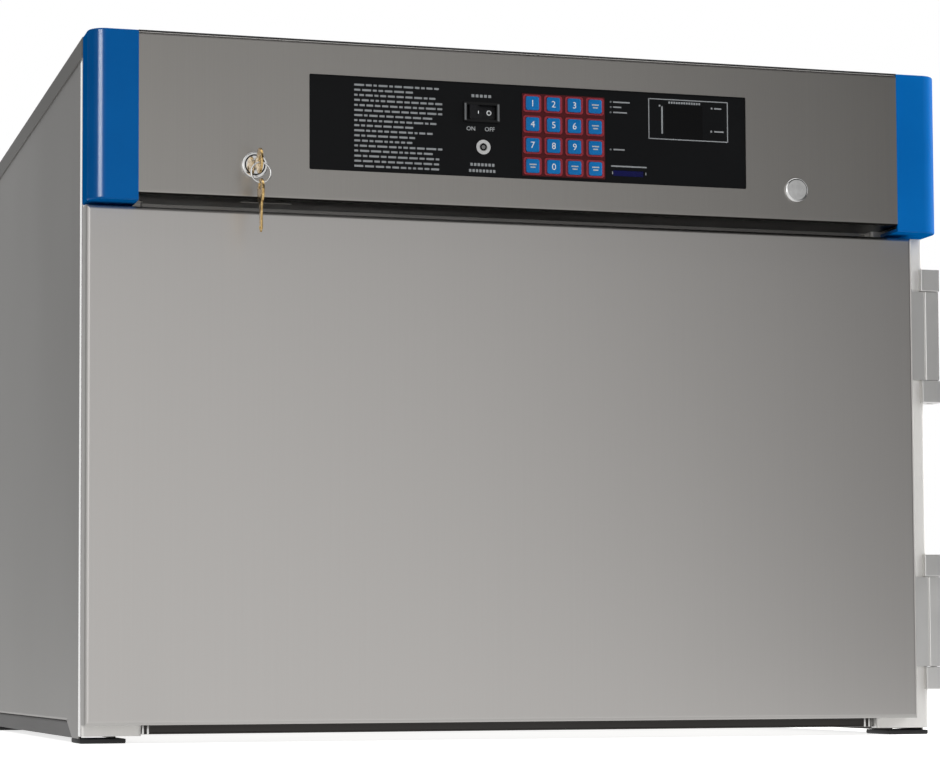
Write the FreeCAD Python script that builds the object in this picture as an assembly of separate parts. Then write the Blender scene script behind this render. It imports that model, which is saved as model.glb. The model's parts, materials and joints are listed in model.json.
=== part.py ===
import FreeCAD, Part
import math
import os

# Blanket warming cabinet for a counter or a stand: one heated chamber behind a plain
# overlay door, and a header above it that holds the lock and the controls.
# Millimetres. X runs to the right and is 0 on the centreline, Y runs back from the front
# face of the header, Z runs up from the surface that the feet stand on. At the end the
# whole is shifted so that the origin is the middle of its base.

Vector = FreeCAD.Vector

# ---- cabinet body ----
body_width = 762.0
body_height = 589.0
body_depth = 680.0
header_height = 136.7        # header's underside to the top
sheet = 1.2                  # stainless sheet of every folded panel
bend = 2.5                   # outside radius of a fold
slot_flat = 0.1              # half the flat left at the end of a punched slot
over = 1.0                   # how far a cut runs on past what it cuts
flange = 20.0                # flange that joins one panel to the next
cover_flange = 18.0          # turned-down edge of the top cover
base_gap = 4.0               # height of the foot pads
rail_height = 14.0
rail_width = 30.0
rail_wall = 1.5
pad_width = 38.0
pad_length = 50.0
toe_top = 68.0               # front toe of a side panel, length at its top
toe_bottom = 36.0            # and at the floor end

# ---- door ----
door_bottom = 15.2
door_set_back = 15.0         # door face behind the header face
door_thickness = 21.6
door_gap = 0.8               # door back to the stiles
door_bend = 3.5
header_gap = 8.0             # door top to the header's underside
inner_step = 7.4             # how far the inner pan stands into the frame
gasket_width = 12.0
gasket_gap = 0.3             # gasket to the face plate
gasket_seat = 3.0            # inner pan seen outside the gasket
insulation_inset = 3.0

# ---- face frame ----
stile_width = 50.7
stile_return = 12.1          # stile face to face plate
stile_bend = 3.0
stile_bottom = 6.0
stile_lip = 13.0             # outer return before it steps in under the side panel
stile_tab = 18.0             # tab that lies inside the side panel
face_plate_bottom = 7.0
face_plate_lap = 15.0        # how far the face plate runs on behind a stile

# ---- chamber ----
jamb = 25.3                  # face plate seen beside the chamber
chamber_floor = 45.0
chamber_drop = 47.3          # chamber roof below the header
rear_space = 58.1            # behind the liner, for the motor and the blanket
liner_flange = 15.0
plenum_depth = 54.0
support_height = 180.0       # shelf support top above the chamber floor
support_width = 20.0
support_end_gap = 12.0       # shelf's back rod behind the supports
support_drop = 25.0
shelf_rod_radius = 3.0
shelf_wire_radius = 1.75
shelf_wires = 21
shelf_side_gap = 9.0
shelf_front_gap = 26.0
shelf_rear_gap = 18.0        # back rod to the baffle
shelf_clearance = 0.3

# ---- header ----
trim_width = 41.0
trim_wall = 3.0
trim_radius = 15.0
trim_edge = 1.5
trim_drop = 5.3              # trim end below the header's underside
fascia_top_lap = 25.0
panel_half_width = 196.0
panel_rise = 26.7            # panel above the header's underside
panel_height = 81.0
panel_lap = 8.0
panel_thickness = 2.0

# ---- keypad ----
key_columns = 4
key_rows = 4
key_pitch_x = 18.9
key_pitch_z = 18.1
key_first_x = 0.0
key_first_rise = 65.8        # centre of the top left key above the panel's lower edge
key_size = 11.8
key_clearance = 0.2
key_proud = 1.0              # key face in front of the header face
key_travel = 0.8
key_flange = 1.3             # flange that holds a key behind the panel
key_flange_thickness = 1.0
key_stem = 5.0
key_stem_length = 1.8
key_corner = 1.2
key_edge = 0.5               # rounding of a key's face
ring_width = 16.2            # raised border round each key
ring_height = 15.0
ring_corner = 2.2
ring_raise = 0.5
pad_sheet = 0.6
pad_margin = 1.0

# ---- power switch ----
switch_x = -45.3
switch_rise = 55.7
switch_width = 32.0
switch_height = 17.0
switch_bezel = 2.0
switch_rim = 3.0
switch_side_rim = 2.2
switch_body_depth = 22.0
switch_wall = 1.0
rocker_tilt = 12.0           # degrees each side of level
rocker_half = 12.2
rocker_rise = 3.6
rocker_dip = 1.6
rocker_heel = 6.0
rocker_pivot_y = 3.0
rocker_side_gap = 0.2
trunnion_radius = 1.2
trunnion_gap = 0.05

# ---- control lock-out key switch ----
lockout_x = -44.2
lockout_rise = 25.6
lockout_rim_radius = 6.25
lockout_body_radius = 5.4
lockout_plug_radius = 3.4
lockout_proud = 1.0
lockout_length = 12.0
lockout_ring_outer = 2.9
lockout_ring_inner = 1.7
lockout_ring_depth = 7.0
lockout_notch = 1.0          # width of the key slot's locating notch
lockout_nut_radius = 7.6
lockout_nut = 3.0
run_gap = 0.05               # radial gap of a plug or pin that turns in a bore

# ---- door lock and its keys ----
lock_beside_panel = 47.0
lock_rise = 27.7             # lock's middle above the header's underside
lock_rim_radius = 11.0
lock_rim_proud = 3.0
lock_rim_edge = 1.0          # rounding of the rim's front
lock_groove_outer = 8.8      # groove round the lock's face
lock_groove_inner = 7.6
lock_groove = 1.5
lock_body_radius = 9.5
lock_hole_gap = 0.2
lock_length = 20.0
lock_nut_radius = 13.5
lock_nut = 4.0
plug_radius = 5.45
plug_recess = 0.4
keyway_width = 2.0
keyway_height = 8.0
keyway_depth = 17.0
boss_size = 7.0
boss_gap = 0.05
cam_thickness = 2.5
cam_gap = 0.2
cam_root_radius = 8.0
cam_tip_radius = 6.0
cam_engagement = 8.3         # cam tip below the top of the door when locked
cam_clearance = 1.3
screw_head = 2.2
screw_head_radius = 5.0
key_bow_radius = 10.5
key_bow_thickness = 2.0
key_blade_thickness = 1.6
key_blade_height = 7.4
key_blade_length = 34.0      # bow centre to blade tip
key_inserted = 14.5
key_shoulder = 12.5          # bow centre to the end of the shoulder
key_shoulder_height = 9.0
key_tip = 3.0                # length of the blade's pointed end
key_cuts = 3
key_cut_radius = 1.6
key_cut_offset = 0.6         # centre of a cut outside the blade's edge
key_cut_first = 6.5          # first cut from the blade's tip
key_cut_pitch = 4.0
key_hole_radius = 3.4
key_hole_offset = 5.0        # hole centre beyond the bow centre
ring_radius = 8.2
ring_wire_radius = 0.8
hang_gap = 0.2

# ---- hole plug, at the mirror place of the lock ----
plug_cap_radius = 11.0
plug_cap = 2.6
plug_cap_edge = 2.2
plug_skirt_radius = 9.3
plug_skirt = 6.0
plug_skirt_wall = 1.0

# ---- hinges ----
hinge_stand_off = 7.2        # pin line outside the body's side
hinge_behind_door = 4.9      # pin line behind the door's back
hinge_setback = 27.7         # door edge to the pin line
hinge_end_gap = 25.05        # door's end to the hinge's
hinge_height = 121.0
hinge_end_height = 20.0
hinge_end_left = 11.2        # end block, from the pin line
hinge_end_right = 7.2
hinge_end_front = 8.9
hinge_end_back = 10.0
hinge_end_corner = 1.0
hinge_bar_half = 6.9
hinge_bar_front = 7.5
hinge_bar_corner = 1.2
hinge_gap = 0.5
hinge_strap = 1.6
hinge_strap_step = 1.4       # strap behind the bar's front
hinge_leaf = 1.4             # leaf on the door's edge
hinge_leaf_depth = 18.0
hinge_plate = 2.0            # leaf on the side of the body
hinge_plate_depth = 24.0
pin_radius = 3.0

# ---- warm air ----
fan_radius = 75.0
fan_hub_radius = 12.0
fan_plate = 1.5
fan_blades = 10
fan_blade_inner = 34.0
fan_blade_width = 30.0
fan_back_gap = 10.0
fan_blade_thickness = 1.2
fan_blade_angle = 28.0       # blade against the radius
shaft_radius = 3.0
shaft_hole_gap = 3.0
motor_radius = 42.0
motor_length = 46.0
motor_plate = 2.0
motor_plate_size = 110.0
shaft_in_motor = 30.0
heater_radius = 100.0
heater_tube_radius = 4.0
heater_set_back = 26.0       # heater ring in front of the liner's back
heater_open_angle = 24.0
heater_tail = 14.0
heater_collar = 3.0
heater_collar_radius = 8.0
sensor_x = 200.0
sensor_drop = 75.0           # probe below the chamber roof
probe_radius = 3.0
probe_reach = 28.0           # probe tip in front of the baffle
probe_tail = 18.0
sensor_collar_radius = 7.0
sensor_collar = 4.0
limit_radius = 9.0
limit_height = 10.0
sensor_clearance = 6.0
rear_window_radius = 125.0
baffle_holes = 7
baffle_hole_radius = 6.0
baffle_hole_pitch = 20.0
baffle_slots = 8
baffle_slot_length = 50.0
baffle_slot_height = 8.0
baffle_slot_edge = 26.0
baffle_side_flange = 15.0

# ---- electronics, rear fittings ----
board_before_keys = 18.0     # board's end to the first key's middle
board_after_keys = 135.3     # last key's middle to the board's end
board_thickness = 1.6
board_set_back = 9.2         # board behind the back of the control panel
board_margin = 1.5
post_radius = 3.0
switch_block = 7.0
switch_block_gap = 0.2
display_after_keys = 81.3    # last key's middle to the display's
display_rise = 55.4
display_width = 34.4
display_height = 27.3
display_gap = 0.4
port_after_keys = 30.6
port_rise = 9.0
port_width = 27.8
port_height = 5.0
port_recess = 0.8
port_gap = 0.1
gland_inset = 61.0
gland_drop = 89.0
gland_bore_radius = 6.0
gland_radius = 14.0
gland_neck_radius = 10.0
gland_cap_radius = 12.0
gland_length = 18.0
gland_hex = 7.0
gland_nut = 5.0
vent_columns = 8
vent_rows = 2
vent_length = 50.0
vent_height = 5.0
vent_pitch_x = 70.0
vent_pitch_z = 40.0
vent_drop = 89.0             # lower row below the top
screw_radius = 1.9
screw_hole_radius = 2.0
screw_cap_radius = 4.0
screw_cap = 2.2
screw_reach = 4.5
screws_per_side = 4
screw_end_gap = 40.0

# ---- places that follow from the sizes above ----
half_width = body_width / 2
stile_front = door_set_back + door_thickness + door_gap
face_front = stile_front + stile_return
face_back = face_front + sheet
door_back = door_set_back + door_thickness
header_bottom = body_height - header_height
door_top = header_bottom - header_gap
door_left = -half_width
pin_x = half_width + hinge_stand_off
hinge_pin_y = door_back + hinge_behind_door
door_right = pin_x - hinge_setback
stile_inner = half_width - stile_width
stile_top = body_height - sheet - bend
trim_bottom = header_bottom - trim_drop
trim_inner = half_width - trim_width
cover_under = body_height - sheet
side_inner = half_width - sheet
rail_top = base_gap + rail_height
pan_under = rail_top + sheet
pan_top = pan_under + sheet
panel_front = sheet
panel_back = panel_front + panel_thickness
panel_bottom = header_bottom + panel_rise
panel_top = panel_bottom + panel_height
back_inner = body_depth - sheet
side_flange_inner = back_inner - sheet
chamber_half = stile_inner - jamb
chamber_top = header_bottom - chamber_drop
liner_back_outer = body_depth - rear_space
liner_back = liner_back_outer - sheet
baffle_front = liner_back - plenum_depth
baffle_back = baffle_front + sheet
support_top = chamber_floor + support_height
shelf_back = baffle_front - shelf_rear_gap
pan_plate_front = door_back - sheet
hat_back = door_back + inner_step
gasket_back = face_front - gasket_gap
gasket_side = chamber_half + jamb / 2                 # middle of the gasket
gasket_top = chamber_top + jamb / 2
gasket_bottom = chamber_floor - jamb / 2
hat_margin = gasket_width / 2 + gasket_seat           # gasket middle to the step's edge
lock_x = -panel_half_width - lock_beside_panel
lock_z = header_bottom + lock_rise
cam_length = lock_z - door_top + cam_engagement
cam_front = lock_length + cam_gap
cam_back = cam_front + cam_thickness
board_front = panel_back + board_set_back
board_back = board_front + board_thickness
lock_front = -lock_rim_proud + plug_recess
key_bow_y = lock_front + key_inserted - key_blade_length
key_ring_y = key_bow_y - key_hole_offset
ring_wire_z = lock_z - key_hole_radius + ring_wire_radius + hang_gap
ring_low_z = ring_wire_z - 2 * ring_radius
spare_hole_z = ring_low_z - (key_hole_radius - ring_wire_radius - hang_gap)
spare_bow_z = spare_hole_z - key_hole_offset
switch_z = panel_bottom + switch_rise
lockout_z = panel_bottom + lockout_rise
lockout_front = -lockout_proud
lockout_back = panel_back + lockout_length
fan_z = (chamber_floor + chamber_top) / 2
sensor_z = chamber_top - sensor_drop
fan_back = liner_back - fan_back_gap
heater_y = liner_back - heater_set_back
hinge_middles = [door_bottom + hinge_end_gap + hinge_height / 2, door_top - hinge_end_gap - hinge_height / 2]
gland_x = half_width - gland_inset
gland_z = body_height - gland_drop
vent_z = body_height - vent_drop
key_first_z = panel_bottom + key_first_rise
key_last_x = key_first_x + (key_columns - 1) * key_pitch_x
display_x = key_last_x + display_after_keys
display_z = panel_bottom + display_rise
port_x = key_last_x + port_after_keys
port_z = panel_bottom + port_rise
board_left = key_first_x - board_before_keys
board_right = key_last_x + board_after_keys
key_places = [
    (key_first_x + column * key_pitch_x, key_first_z - row * key_pitch_z)
    for row in range(key_rows)
    for column in range(key_columns)
]
key_names = [
    "key_1", "key_2", "key_3", "key_set",
    "key_4", "key_5", "key_6", "key_mute",
    "key_7", "key_8", "key_9", "key_lock",
    "key_unit", "key_0", "key_clear", "key_enter",
]


# ---- small shape helpers ----
def block(x0, x1, y0, y1, z0, z1):
    return Part.makeBox(x1 - x0, y1 - y0, z1 - z0, Vector(x0, y0, z0))


def rod(radius, start, end):
    along = end - start
    return Part.makeCylinder(radius, along.Length, start, along)


def rod_y(radius, x, z, y0, y1):
    return rod(radius, Vector(x, y0, z), Vector(x, y1, z))


def joined(shapes):
    whole = shapes[0].multiFuse(shapes[1:]) if len(shapes) > 1 else shapes[0]
    return whole.removeSplitter()


def less(shape, tools):
    return shape.cut(Part.makeCompound(tools))


def mirrored(shape):
    return shape.mirror(Vector(0, 0, 0), Vector(1, 0, 0))


def rounded(shape, radius, wanted):
    """Fillet the edges whose middle point passes the test."""
    edges = [e for e in shape.Edges if wanted(e.BoundBox.Center, e)]
    return shape.makeFillet(radius, edges) if edges and radius > 0 else shape


def near(a, b):
    return abs(a - b) < 0.01


def is_upright(edge):
    return edge.BoundBox.ZLength > 0.5 and edge.BoundBox.XLength < 0.01 and edge.BoundBox.YLength < 0.01


def turned(shape, along):
    """Stand a shape that was extruded along Z on its own axes along X or Y instead."""
    if along == "X":
        turn = FreeCAD.Matrix(0, 0, 1, 0, 1, 0, 0, 0, 0, 1, 0, 0, 0, 0, 0, 1)
    else:
        turn = FreeCAD.Matrix(0, 1, 0, 0, 0, 0, 1, 0, 1, 0, 0, 0, 0, 0, 0, 1)
    shape.Placement = FreeCAD.Placement(turn)
    return shape


def prism(points, low, high):
    corners = [Vector(x, y, low) for x, y in points]
    face = Part.Face(Part.makePolygon(corners + corners[:1]))
    return face.extrude(Vector(0, 0, high - low))


def folded(points, thickness, radius, low, high, side=1):
    """Folded sheet: the points follow one face, and the sheet lies on its left (side 1)."""
    path = [Vector(x, y, 0) for x, y in points]
    ways = [(b - a).normalize() for a, b in zip(path, path[1:])]
    normals = [Vector(-w.y, w.x, 0) * side for w in ways]
    inner = [path[0] + normals[0] * thickness]
    folds = []
    for index in range(1, len(path) - 1):
        before, after = normals[index - 1], normals[index]
        corner = path[index] + (before + after) * (thickness / (1 + before.dot(after)))
        inner.append(corner)
        towards = ways[index - 1].cross(ways[index]).z * side > 0
        outer_radius = radius if towards else radius - thickness
        inner_radius = radius - thickness if towards else radius
        folds += [(path[index], outer_radius), (corner, inner_radius)]
    inner.append(path[-1] + normals[-1] * thickness)
    strip = prism([(p.x, p.y) for p in path + inner[::-1]], low, high)
    for place, fold_radius in folds:
        strip = rounded(
            strip,
            fold_radius,
            lambda c, e, p=place: is_upright(e) and near(c.x, p.x) and near(c.y, p.y),
        )
    return strip


def hexagon(across, x, z, y0, y1):
    corner = across / math.sqrt(3)
    points = [
        (z + corner * math.cos(math.radians(60 * i)), x + corner * math.sin(math.radians(60 * i)))
        for i in range(6)
    ]
    return turned(prism(points, y0, y1), "Y")


def slot_tool(x, z, width, height, y0, y1, corner):
    tool = block(x - width / 2, x + width / 2, y0, y1, z - height / 2, z + height / 2)
    return rounded(tool, corner, lambda c, e: e.BoundBox.YLength > 0.5 * (y1 - y0))


# ---- cabinet shell ----
def side_panel():
    """Left side, with flanges behind, above and below, and a toe that reaches the front foot."""
    front = stile_front + stile_lip
    inner = -half_width + flange
    wall = turned(
        folded(
            [(rail_top, inner), (rail_top, -half_width), (cover_under, -half_width), (cover_under, inner)],
            sheet, bend, front, back_inner,
        ),
        "Y",
    )
    rear = block(-side_inner, inner, side_flange_inner, back_inner, pan_under, cover_under - sheet)
    toe_high = rail_top + bend
    toe = turned(
        prism(
            [(front, base_gap), (front + toe_bottom, base_gap), (front + toe_top, rail_top),
             (front + toe_top, toe_high), (front, toe_high)],
            -half_width, -side_inner,
        ),
        "X",
    )
    holes = [
        rod_y(screw_hole_radius, x, z, side_flange_inner - over, back_inner + over)
        for x, z in screw_places(-1)
    ]
    return less(joined([wall, rear, toe]), holes)


def screw_places(side):
    low, high = rail_top + screw_end_gap, cover_under - cover_flange - screw_end_gap
    step = (high - low) / (screws_per_side - 1)
    x = side * (half_width - flange / 2)
    return [(x, low + step * index) for index in range(screws_per_side)]


def top_cover():
    outer = half_width + sheet
    low = body_height - cover_flange
    roof = turned(
        folded(
            [(low, -outer), (body_height, -outer), (body_height, outer), (low, outer)],
            sheet, bend, stile_front, body_depth + sheet,
        ),
        "Y",
    )
    rear = block(-half_width, half_width, body_depth, body_depth + sheet, low, cover_under)
    return joined([roof, rear])


def back_panel():
    plate = block(-side_inner, side_inner, back_inner, body_depth, rail_top, cover_under)
    tools = [
        slot_tool(
            (column - (vent_columns - 1) / 2) * vent_pitch_x - vent_pitch_x / 2, vent_z + row * vent_pitch_z,
            vent_length, vent_height, back_inner - over, body_depth + over, vent_height / 2 - slot_flat,
        )
        for column in range(vent_columns)
        for row in range(vent_rows)
    ]
    tools += [rod_y(screw_hole_radius, x, z, back_inner - over, body_depth + over)
              for side in (-1, 1) for x, z in screw_places(side)]
    tools.append(rod_y(gland_neck_radius, gland_x, gland_z, back_inner - over, body_depth + over))
    return less(plate, tools)


def base_pan():
    return turned(
        folded(
            [(face_back, pan_under + 2 * bend + sheet), (face_back, pan_under),
             (side_flange_inner, pan_under)],
            sheet, bend, bend - side_inner, side_inner - bend,
        ),
        "X",
    )


def base_rails():
    """Two channels, open below, that carry the side panels and the pan."""
    inner = side_inner - rail_width
    rail = turned(
        folded(
            [(base_gap, -side_inner), (rail_top, -side_inner), (rail_top, -inner), (base_gap, -inner)],
            rail_wall, bend, face_back, body_depth - sheet,
        ),
        "Y",
    )
    return [rail, mirrored(rail)]


def foot_pads():
    front = stile_front + sheet * 2
    rear = body_depth - sheet - pad_length
    pads = []
    for y in (front, rear):
        pad = block(-half_width, -half_width + pad_width, y, y + pad_length, 0, base_gap)
        pad = rounded(pad, sheet, lambda c, e: near(c.z, 0))
        pads += [pad, mirrored(pad)]
    return pads


# ---- face frame ----
def front_stile():
    """Left stile: a face that wraps both its edges, and a tab that steps in under the side panel."""
    lip_end = stile_front + stile_lip
    face = folded(
        [(-stile_inner, face_front), (-stile_inner, stile_front), (-half_width, stile_front),
         (-half_width, lip_end)],
        sheet, stile_bend, stile_bottom, stile_top, side=-1,
    )
    tab = block(
        -side_inner, -side_inner + sheet, lip_end - 2 * sheet, lip_end + stile_tab,
        pan_under + bend, stile_top,
    )
    return joined([face, tab])


def front_stiles():
    left = front_stile()
    return [left, mirrored(left)]


def face_plate():
    outer = stile_inner + face_plate_lap
    plate = block(-outer, outer, face_front, face_back, face_plate_bottom, header_bottom)
    window = block(
        -chamber_half, chamber_half, face_front - over, face_back + over, chamber_floor, chamber_top
    )
    return plate.cut(window)


# ---- chamber ----
def sensor_spots():
    return [(sensor_x, sensor_z), (-sensor_x, sensor_z)]


def heater_ends():
    spread = math.radians(heater_open_angle / 2)
    x = heater_radius * math.sin(spread)
    z = fan_z - heater_radius * math.cos(spread)
    return [(-x, z), (x, z)]


def chamber_liner():
    outer = block(
        -chamber_half - sheet, chamber_half + sheet, face_back, liner_back_outer,
        chamber_floor - sheet, chamber_top + sheet,
    )
    rim = block(
        -chamber_half - liner_flange, chamber_half + liner_flange, face_back, face_back + sheet,
        chamber_floor - liner_flange, chamber_top + liner_flange,
    )
    inside = block(-chamber_half, chamber_half, face_back - over, liner_back, chamber_floor, chamber_top)
    rear_holes = [(shaft_radius + shaft_hole_gap, 0, fan_z), (probe_radius, sensor_x, sensor_z)]
    rear_holes += [(heater_tube_radius, x, z) for x, z in heater_ends()]
    holes = [rod_y(radius, x, z, liner_back - over, liner_back_outer + over) for radius, x, z in rear_holes]
    return less(joined([outer, rim]), [inside] + holes)


def insulation_blankets():
    """Glass fibre slabs round the liner: floor, roof, two sides and back."""
    front = face_back + sheet + bend
    rear = liner_back_outer
    liner_outer = chamber_half + sheet
    top = header_bottom - insulation_inset
    floor = block(-liner_outer, liner_outer, front, rear, pan_top, chamber_floor - sheet)
    roof = block(-liner_outer, liner_outer, front, rear, chamber_top + sheet, top)
    edge = stile_front + stile_lip + stile_tab + sheet
    depth = body_depth - screw_reach - insulation_inset
    left = block(-side_inner + insulation_inset, -liner_outer, edge, depth, pan_top, top)
    back = block(-liner_outer, liner_outer, rear, depth, pan_top, top)
    holes = [rod_y(rear_window_radius, 0, fan_z, rear - over, depth + over)]
    sensor_hole = limit_radius + sensor_clearance
    holes += [rod_y(sensor_hole, x, z, rear - over, depth + over) for x, z in sensor_spots()]
    flange_cut = block(
        -chamber_half - liner_flange - over, chamber_half + liner_flange + over, face_back, front,
        chamber_floor - liner_flange, top,
    )
    side_slab = less(left, [flange_cut])
    return [floor, roof, side_slab, mirrored(side_slab), less(back, holes)]


def rear_baffle():
    """Perforated wall in front of the fan: air is drawn in at its middle and blown out at its ends."""
    plate = block(-chamber_half, chamber_half, baffle_front, baffle_back, chamber_floor, chamber_top)
    sides = [
        block(x, x + sheet, baffle_front, baffle_back + baffle_side_flange, chamber_floor, chamber_top)
        for x in (-chamber_half, chamber_half - sheet)
    ]
    middle = (baffle_holes - 1) / 2
    tools = []
    for row in range(baffle_holes):
        for column in range(baffle_holes):
            x, z = (column - middle) * baffle_hole_pitch, (row - middle) * baffle_hole_pitch
            if math.hypot(x, z) < fan_radius - baffle_hole_radius:
                tools.append(rod_y(baffle_hole_radius, x, fan_z + z, baffle_front - over, baffle_back + over))
    slot_pitch = (2 * chamber_half - baffle_slot_edge) / baffle_slots
    for column in range(baffle_slots):
        x = (column - (baffle_slots - 1) / 2) * slot_pitch
        for z in (chamber_floor + baffle_slot_edge, chamber_top - baffle_slot_edge):
            tools.append(slot_tool(
                x, z, baffle_slot_length, baffle_slot_height, baffle_front - over, baffle_back + over,
                baffle_slot_height / 2 - slot_flat,
            ))
    tools.append(rod_y(probe_radius, sensor_x, sensor_z, baffle_front - over, baffle_back + over))
    return less(joined([plate] + sides), tools)


def heater_element():
    """Sheathed ring round the fan, its two tails led out through the liner's back."""
    centre = Vector(0, heater_y, fan_z)
    low = Vector(0, heater_y, fan_z - heater_radius)
    disc = Part.Face(Part.Wire(Part.makeCircle(heater_tube_radius, low, Vector(1, 0, 0))))
    disc.rotate(centre, Vector(0, 1, 0), heater_open_angle / 2)
    pieces = [disc.revolve(centre, Vector(0, 1, 0), 360 - heater_open_angle)]
    for x, z in heater_ends():
        pieces.append(Part.makeSphere(heater_tube_radius, Vector(x, heater_y, z)))
        pieces.append(rod_y(heater_tube_radius, x, z, heater_y, liner_back_outer + heater_tail))
        pieces.append(rod_y(heater_collar_radius, x, z, liner_back - heater_collar, liner_back))
    return joined(pieces)


def temperature_sensors():
    """Air probe that reaches through the baffle, and a high-limit thermostat on the liner's back."""
    probe = joined([
        rod_y(probe_radius, sensor_x, sensor_z, baffle_front - probe_reach, liner_back_outer + probe_tail),
        rod_y(sensor_collar_radius, sensor_x, sensor_z, liner_back_outer, liner_back_outer + sensor_collar),
    ])
    limit = rod_y(limit_radius, -sensor_x, sensor_z, liner_back_outer, liner_back_outer + limit_height)
    return [probe, limit]


def shelf_supports():
    """An angle on each chamber wall."""
    start = face_back + shelf_front_gap
    angle = turned(
        folded(
            [(support_top - support_drop, -chamber_half), (support_top, -chamber_half),
             (support_top, -chamber_half + support_width)],
            sheet, bend, start, shelf_back - support_end_gap,
        ),
        "Y",
    )
    return [angle, mirrored(angle)]


def shelf():
    """Wire shelf: a rod frame, wires from front to back and two cross rods under them."""
    half = chamber_half - shelf_side_gap
    front = face_back + shelf_front_gap - shelf_rod_radius
    back = shelf_back
    z = support_top + shelf_clearance + shelf_rod_radius
    rods = [rod(shelf_rod_radius, Vector(-half, y, z), Vector(half, y, z)) for y in (front, back)]
    rods += [rod(shelf_rod_radius, Vector(x, front, z), Vector(x, back, z)) for x in (-half, half)]
    rods += [Part.makeSphere(shelf_rod_radius, Vector(x, y, z)) for x in (-half, half) for y in (front, back)]
    pitch = 2 * half / (shelf_wires + 1)
    for index in range(1, shelf_wires + 1):
        x = -half + index * pitch
        rods.append(rod(shelf_wire_radius, Vector(x, front, z), Vector(x, back, z)))
    third = (back - front) / 3
    for y in (front + third, back - third):
        rods.append(rod(shelf_wire_radius, Vector(-half, y, z), Vector(half, y, z)))
    return joined(rods)


# ---- fan ----
def fan_motor():
    plate = block(
        -motor_plate_size / 2, motor_plate_size / 2, liner_back_outer, liner_back_outer + motor_plate,
        fan_z - motor_plate_size / 2, fan_z + motor_plate_size / 2,
    )
    can = rod_y(motor_radius, 0, fan_z, liner_back_outer, liner_back_outer + motor_plate + motor_length)
    can = rounded(can, bend, lambda c, e: near(c.y, liner_back_outer + motor_plate + motor_length))
    bore = rod_y(shaft_radius + run_gap, 0, fan_z, liner_back, liner_back_outer + shaft_in_motor + over)
    return joined([plate, can]).cut(bore)


def fan_impeller():
    front = fan_back - fan_blade_width
    pieces = [
        rod_y(fan_radius, 0, fan_z, fan_back - fan_plate, fan_back),
        rod_y(fan_hub_radius, 0, fan_z, front, fan_back),
        rod_y(shaft_radius, 0, fan_z, front, liner_back_outer + shaft_in_motor),
    ]
    for index in range(fan_blades):
        blade = block(
            fan_blade_inner, fan_radius - fan_blade_thickness, front, fan_back,
            -fan_blade_thickness / 2, fan_blade_thickness / 2,
        )
        blade.rotate(Vector((fan_blade_inner + fan_radius) / 2, 0, 0), Vector(0, 1, 0), fan_blade_angle)
        blade.rotate(Vector(0, 0, 0), Vector(0, 1, 0), index * 360 / fan_blades)
        blade.translate(Vector(0, 0, fan_z))
        pieces.append(blade)
    return joined(pieces)


# ---- header ----
def cam_slot(depth_below_lock, low, high):
    """Space that the turning cam needs at a given depth below the lock."""
    reach = math.sqrt(max(cam_length ** 2 - depth_below_lock ** 2, cam_tip_radius ** 2))
    return block(
        lock_x - cam_tip_radius - cam_clearance, lock_x + reach + cam_clearance,
        cam_front - cam_clearance, cam_back + cam_clearance, low, high,
    )


def header_fascia():
    strip = turned(
        folded(
            [(face_back, header_bottom), (0, header_bottom), (0, cover_under),
             (stile_front + fascia_top_lap, cover_under)],
            sheet, bend, -trim_inner, trim_inner, side=-1,
        ),
        "X",
    )
    ends = [
        block(x, x + sheet, bend, stile_front, header_bottom + sheet / 2, cover_under - sheet / 2)
        for x in (-trim_inner, trim_inner - sheet)
    ]
    window = slot_tool(
        0, (panel_bottom + panel_top) / 2, 2 * panel_half_width, panel_height, -over, sheet + over, sheet
    )
    beside_stiles = [
        block(x0, x1, stile_front, body_depth, header_bottom - over, body_height)
        for x0, x1 in ((-half_width, -stile_inner), (stile_inner, half_width))
    ]
    cam_hole = cam_slot(lock_z - header_bottom - sheet, header_bottom - over, header_bottom + sheet + over)
    tools = beside_stiles + [window, cam_hole]
    lock_hole = lock_body_radius + lock_hole_gap
    tools += [rod_y(lock_hole, x, lock_z, -over, sheet + over) for x in (lock_x, -lock_x)]
    return less(joined([strip] + ends), tools)


def corner_trim():
    """Right moulded trim: a rounded shell, open towards the stile and the fascia."""
    outer = block(trim_inner, half_width, 0, stile_front, trim_bottom, body_height)
    outer = rounded(outer, trim_radius, lambda c, e: is_upright(e) and near(c.x, half_width) and near(c.y, 0))
    outer = rounded(
        outer, trim_edge,
        lambda c, e: (near(c.z, trim_bottom) or near(c.z, body_height))
        and c.y < stile_front - 0.01 and c.x > trim_inner + 0.01,
    )
    hollow = block(
        trim_inner - over, half_width - trim_wall, trim_wall, stile_front + over,
        trim_bottom + trim_wall, body_height - trim_wall,
    )
    hollow = rounded(
        hollow, trim_radius - trim_wall,
        lambda c, e: is_upright(e) and near(c.x, half_width - trim_wall) and near(c.y, trim_wall),
    )
    return outer.cut(hollow)


def hole_plug():
    cap = rod_y(plug_cap_radius, -lock_x, lock_z, -plug_cap, 0)
    cap = rounded(cap, plug_cap_edge, lambda c, e: near(c.y, -plug_cap))
    skirt = rod_y(plug_skirt_radius, -lock_x, lock_z, 0, plug_skirt)
    bore = rod_y(plug_skirt_radius - plug_skirt_wall, -lock_x, lock_z, 0, plug_skirt + over)
    return joined([cap, skirt.cut(bore)])


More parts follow.
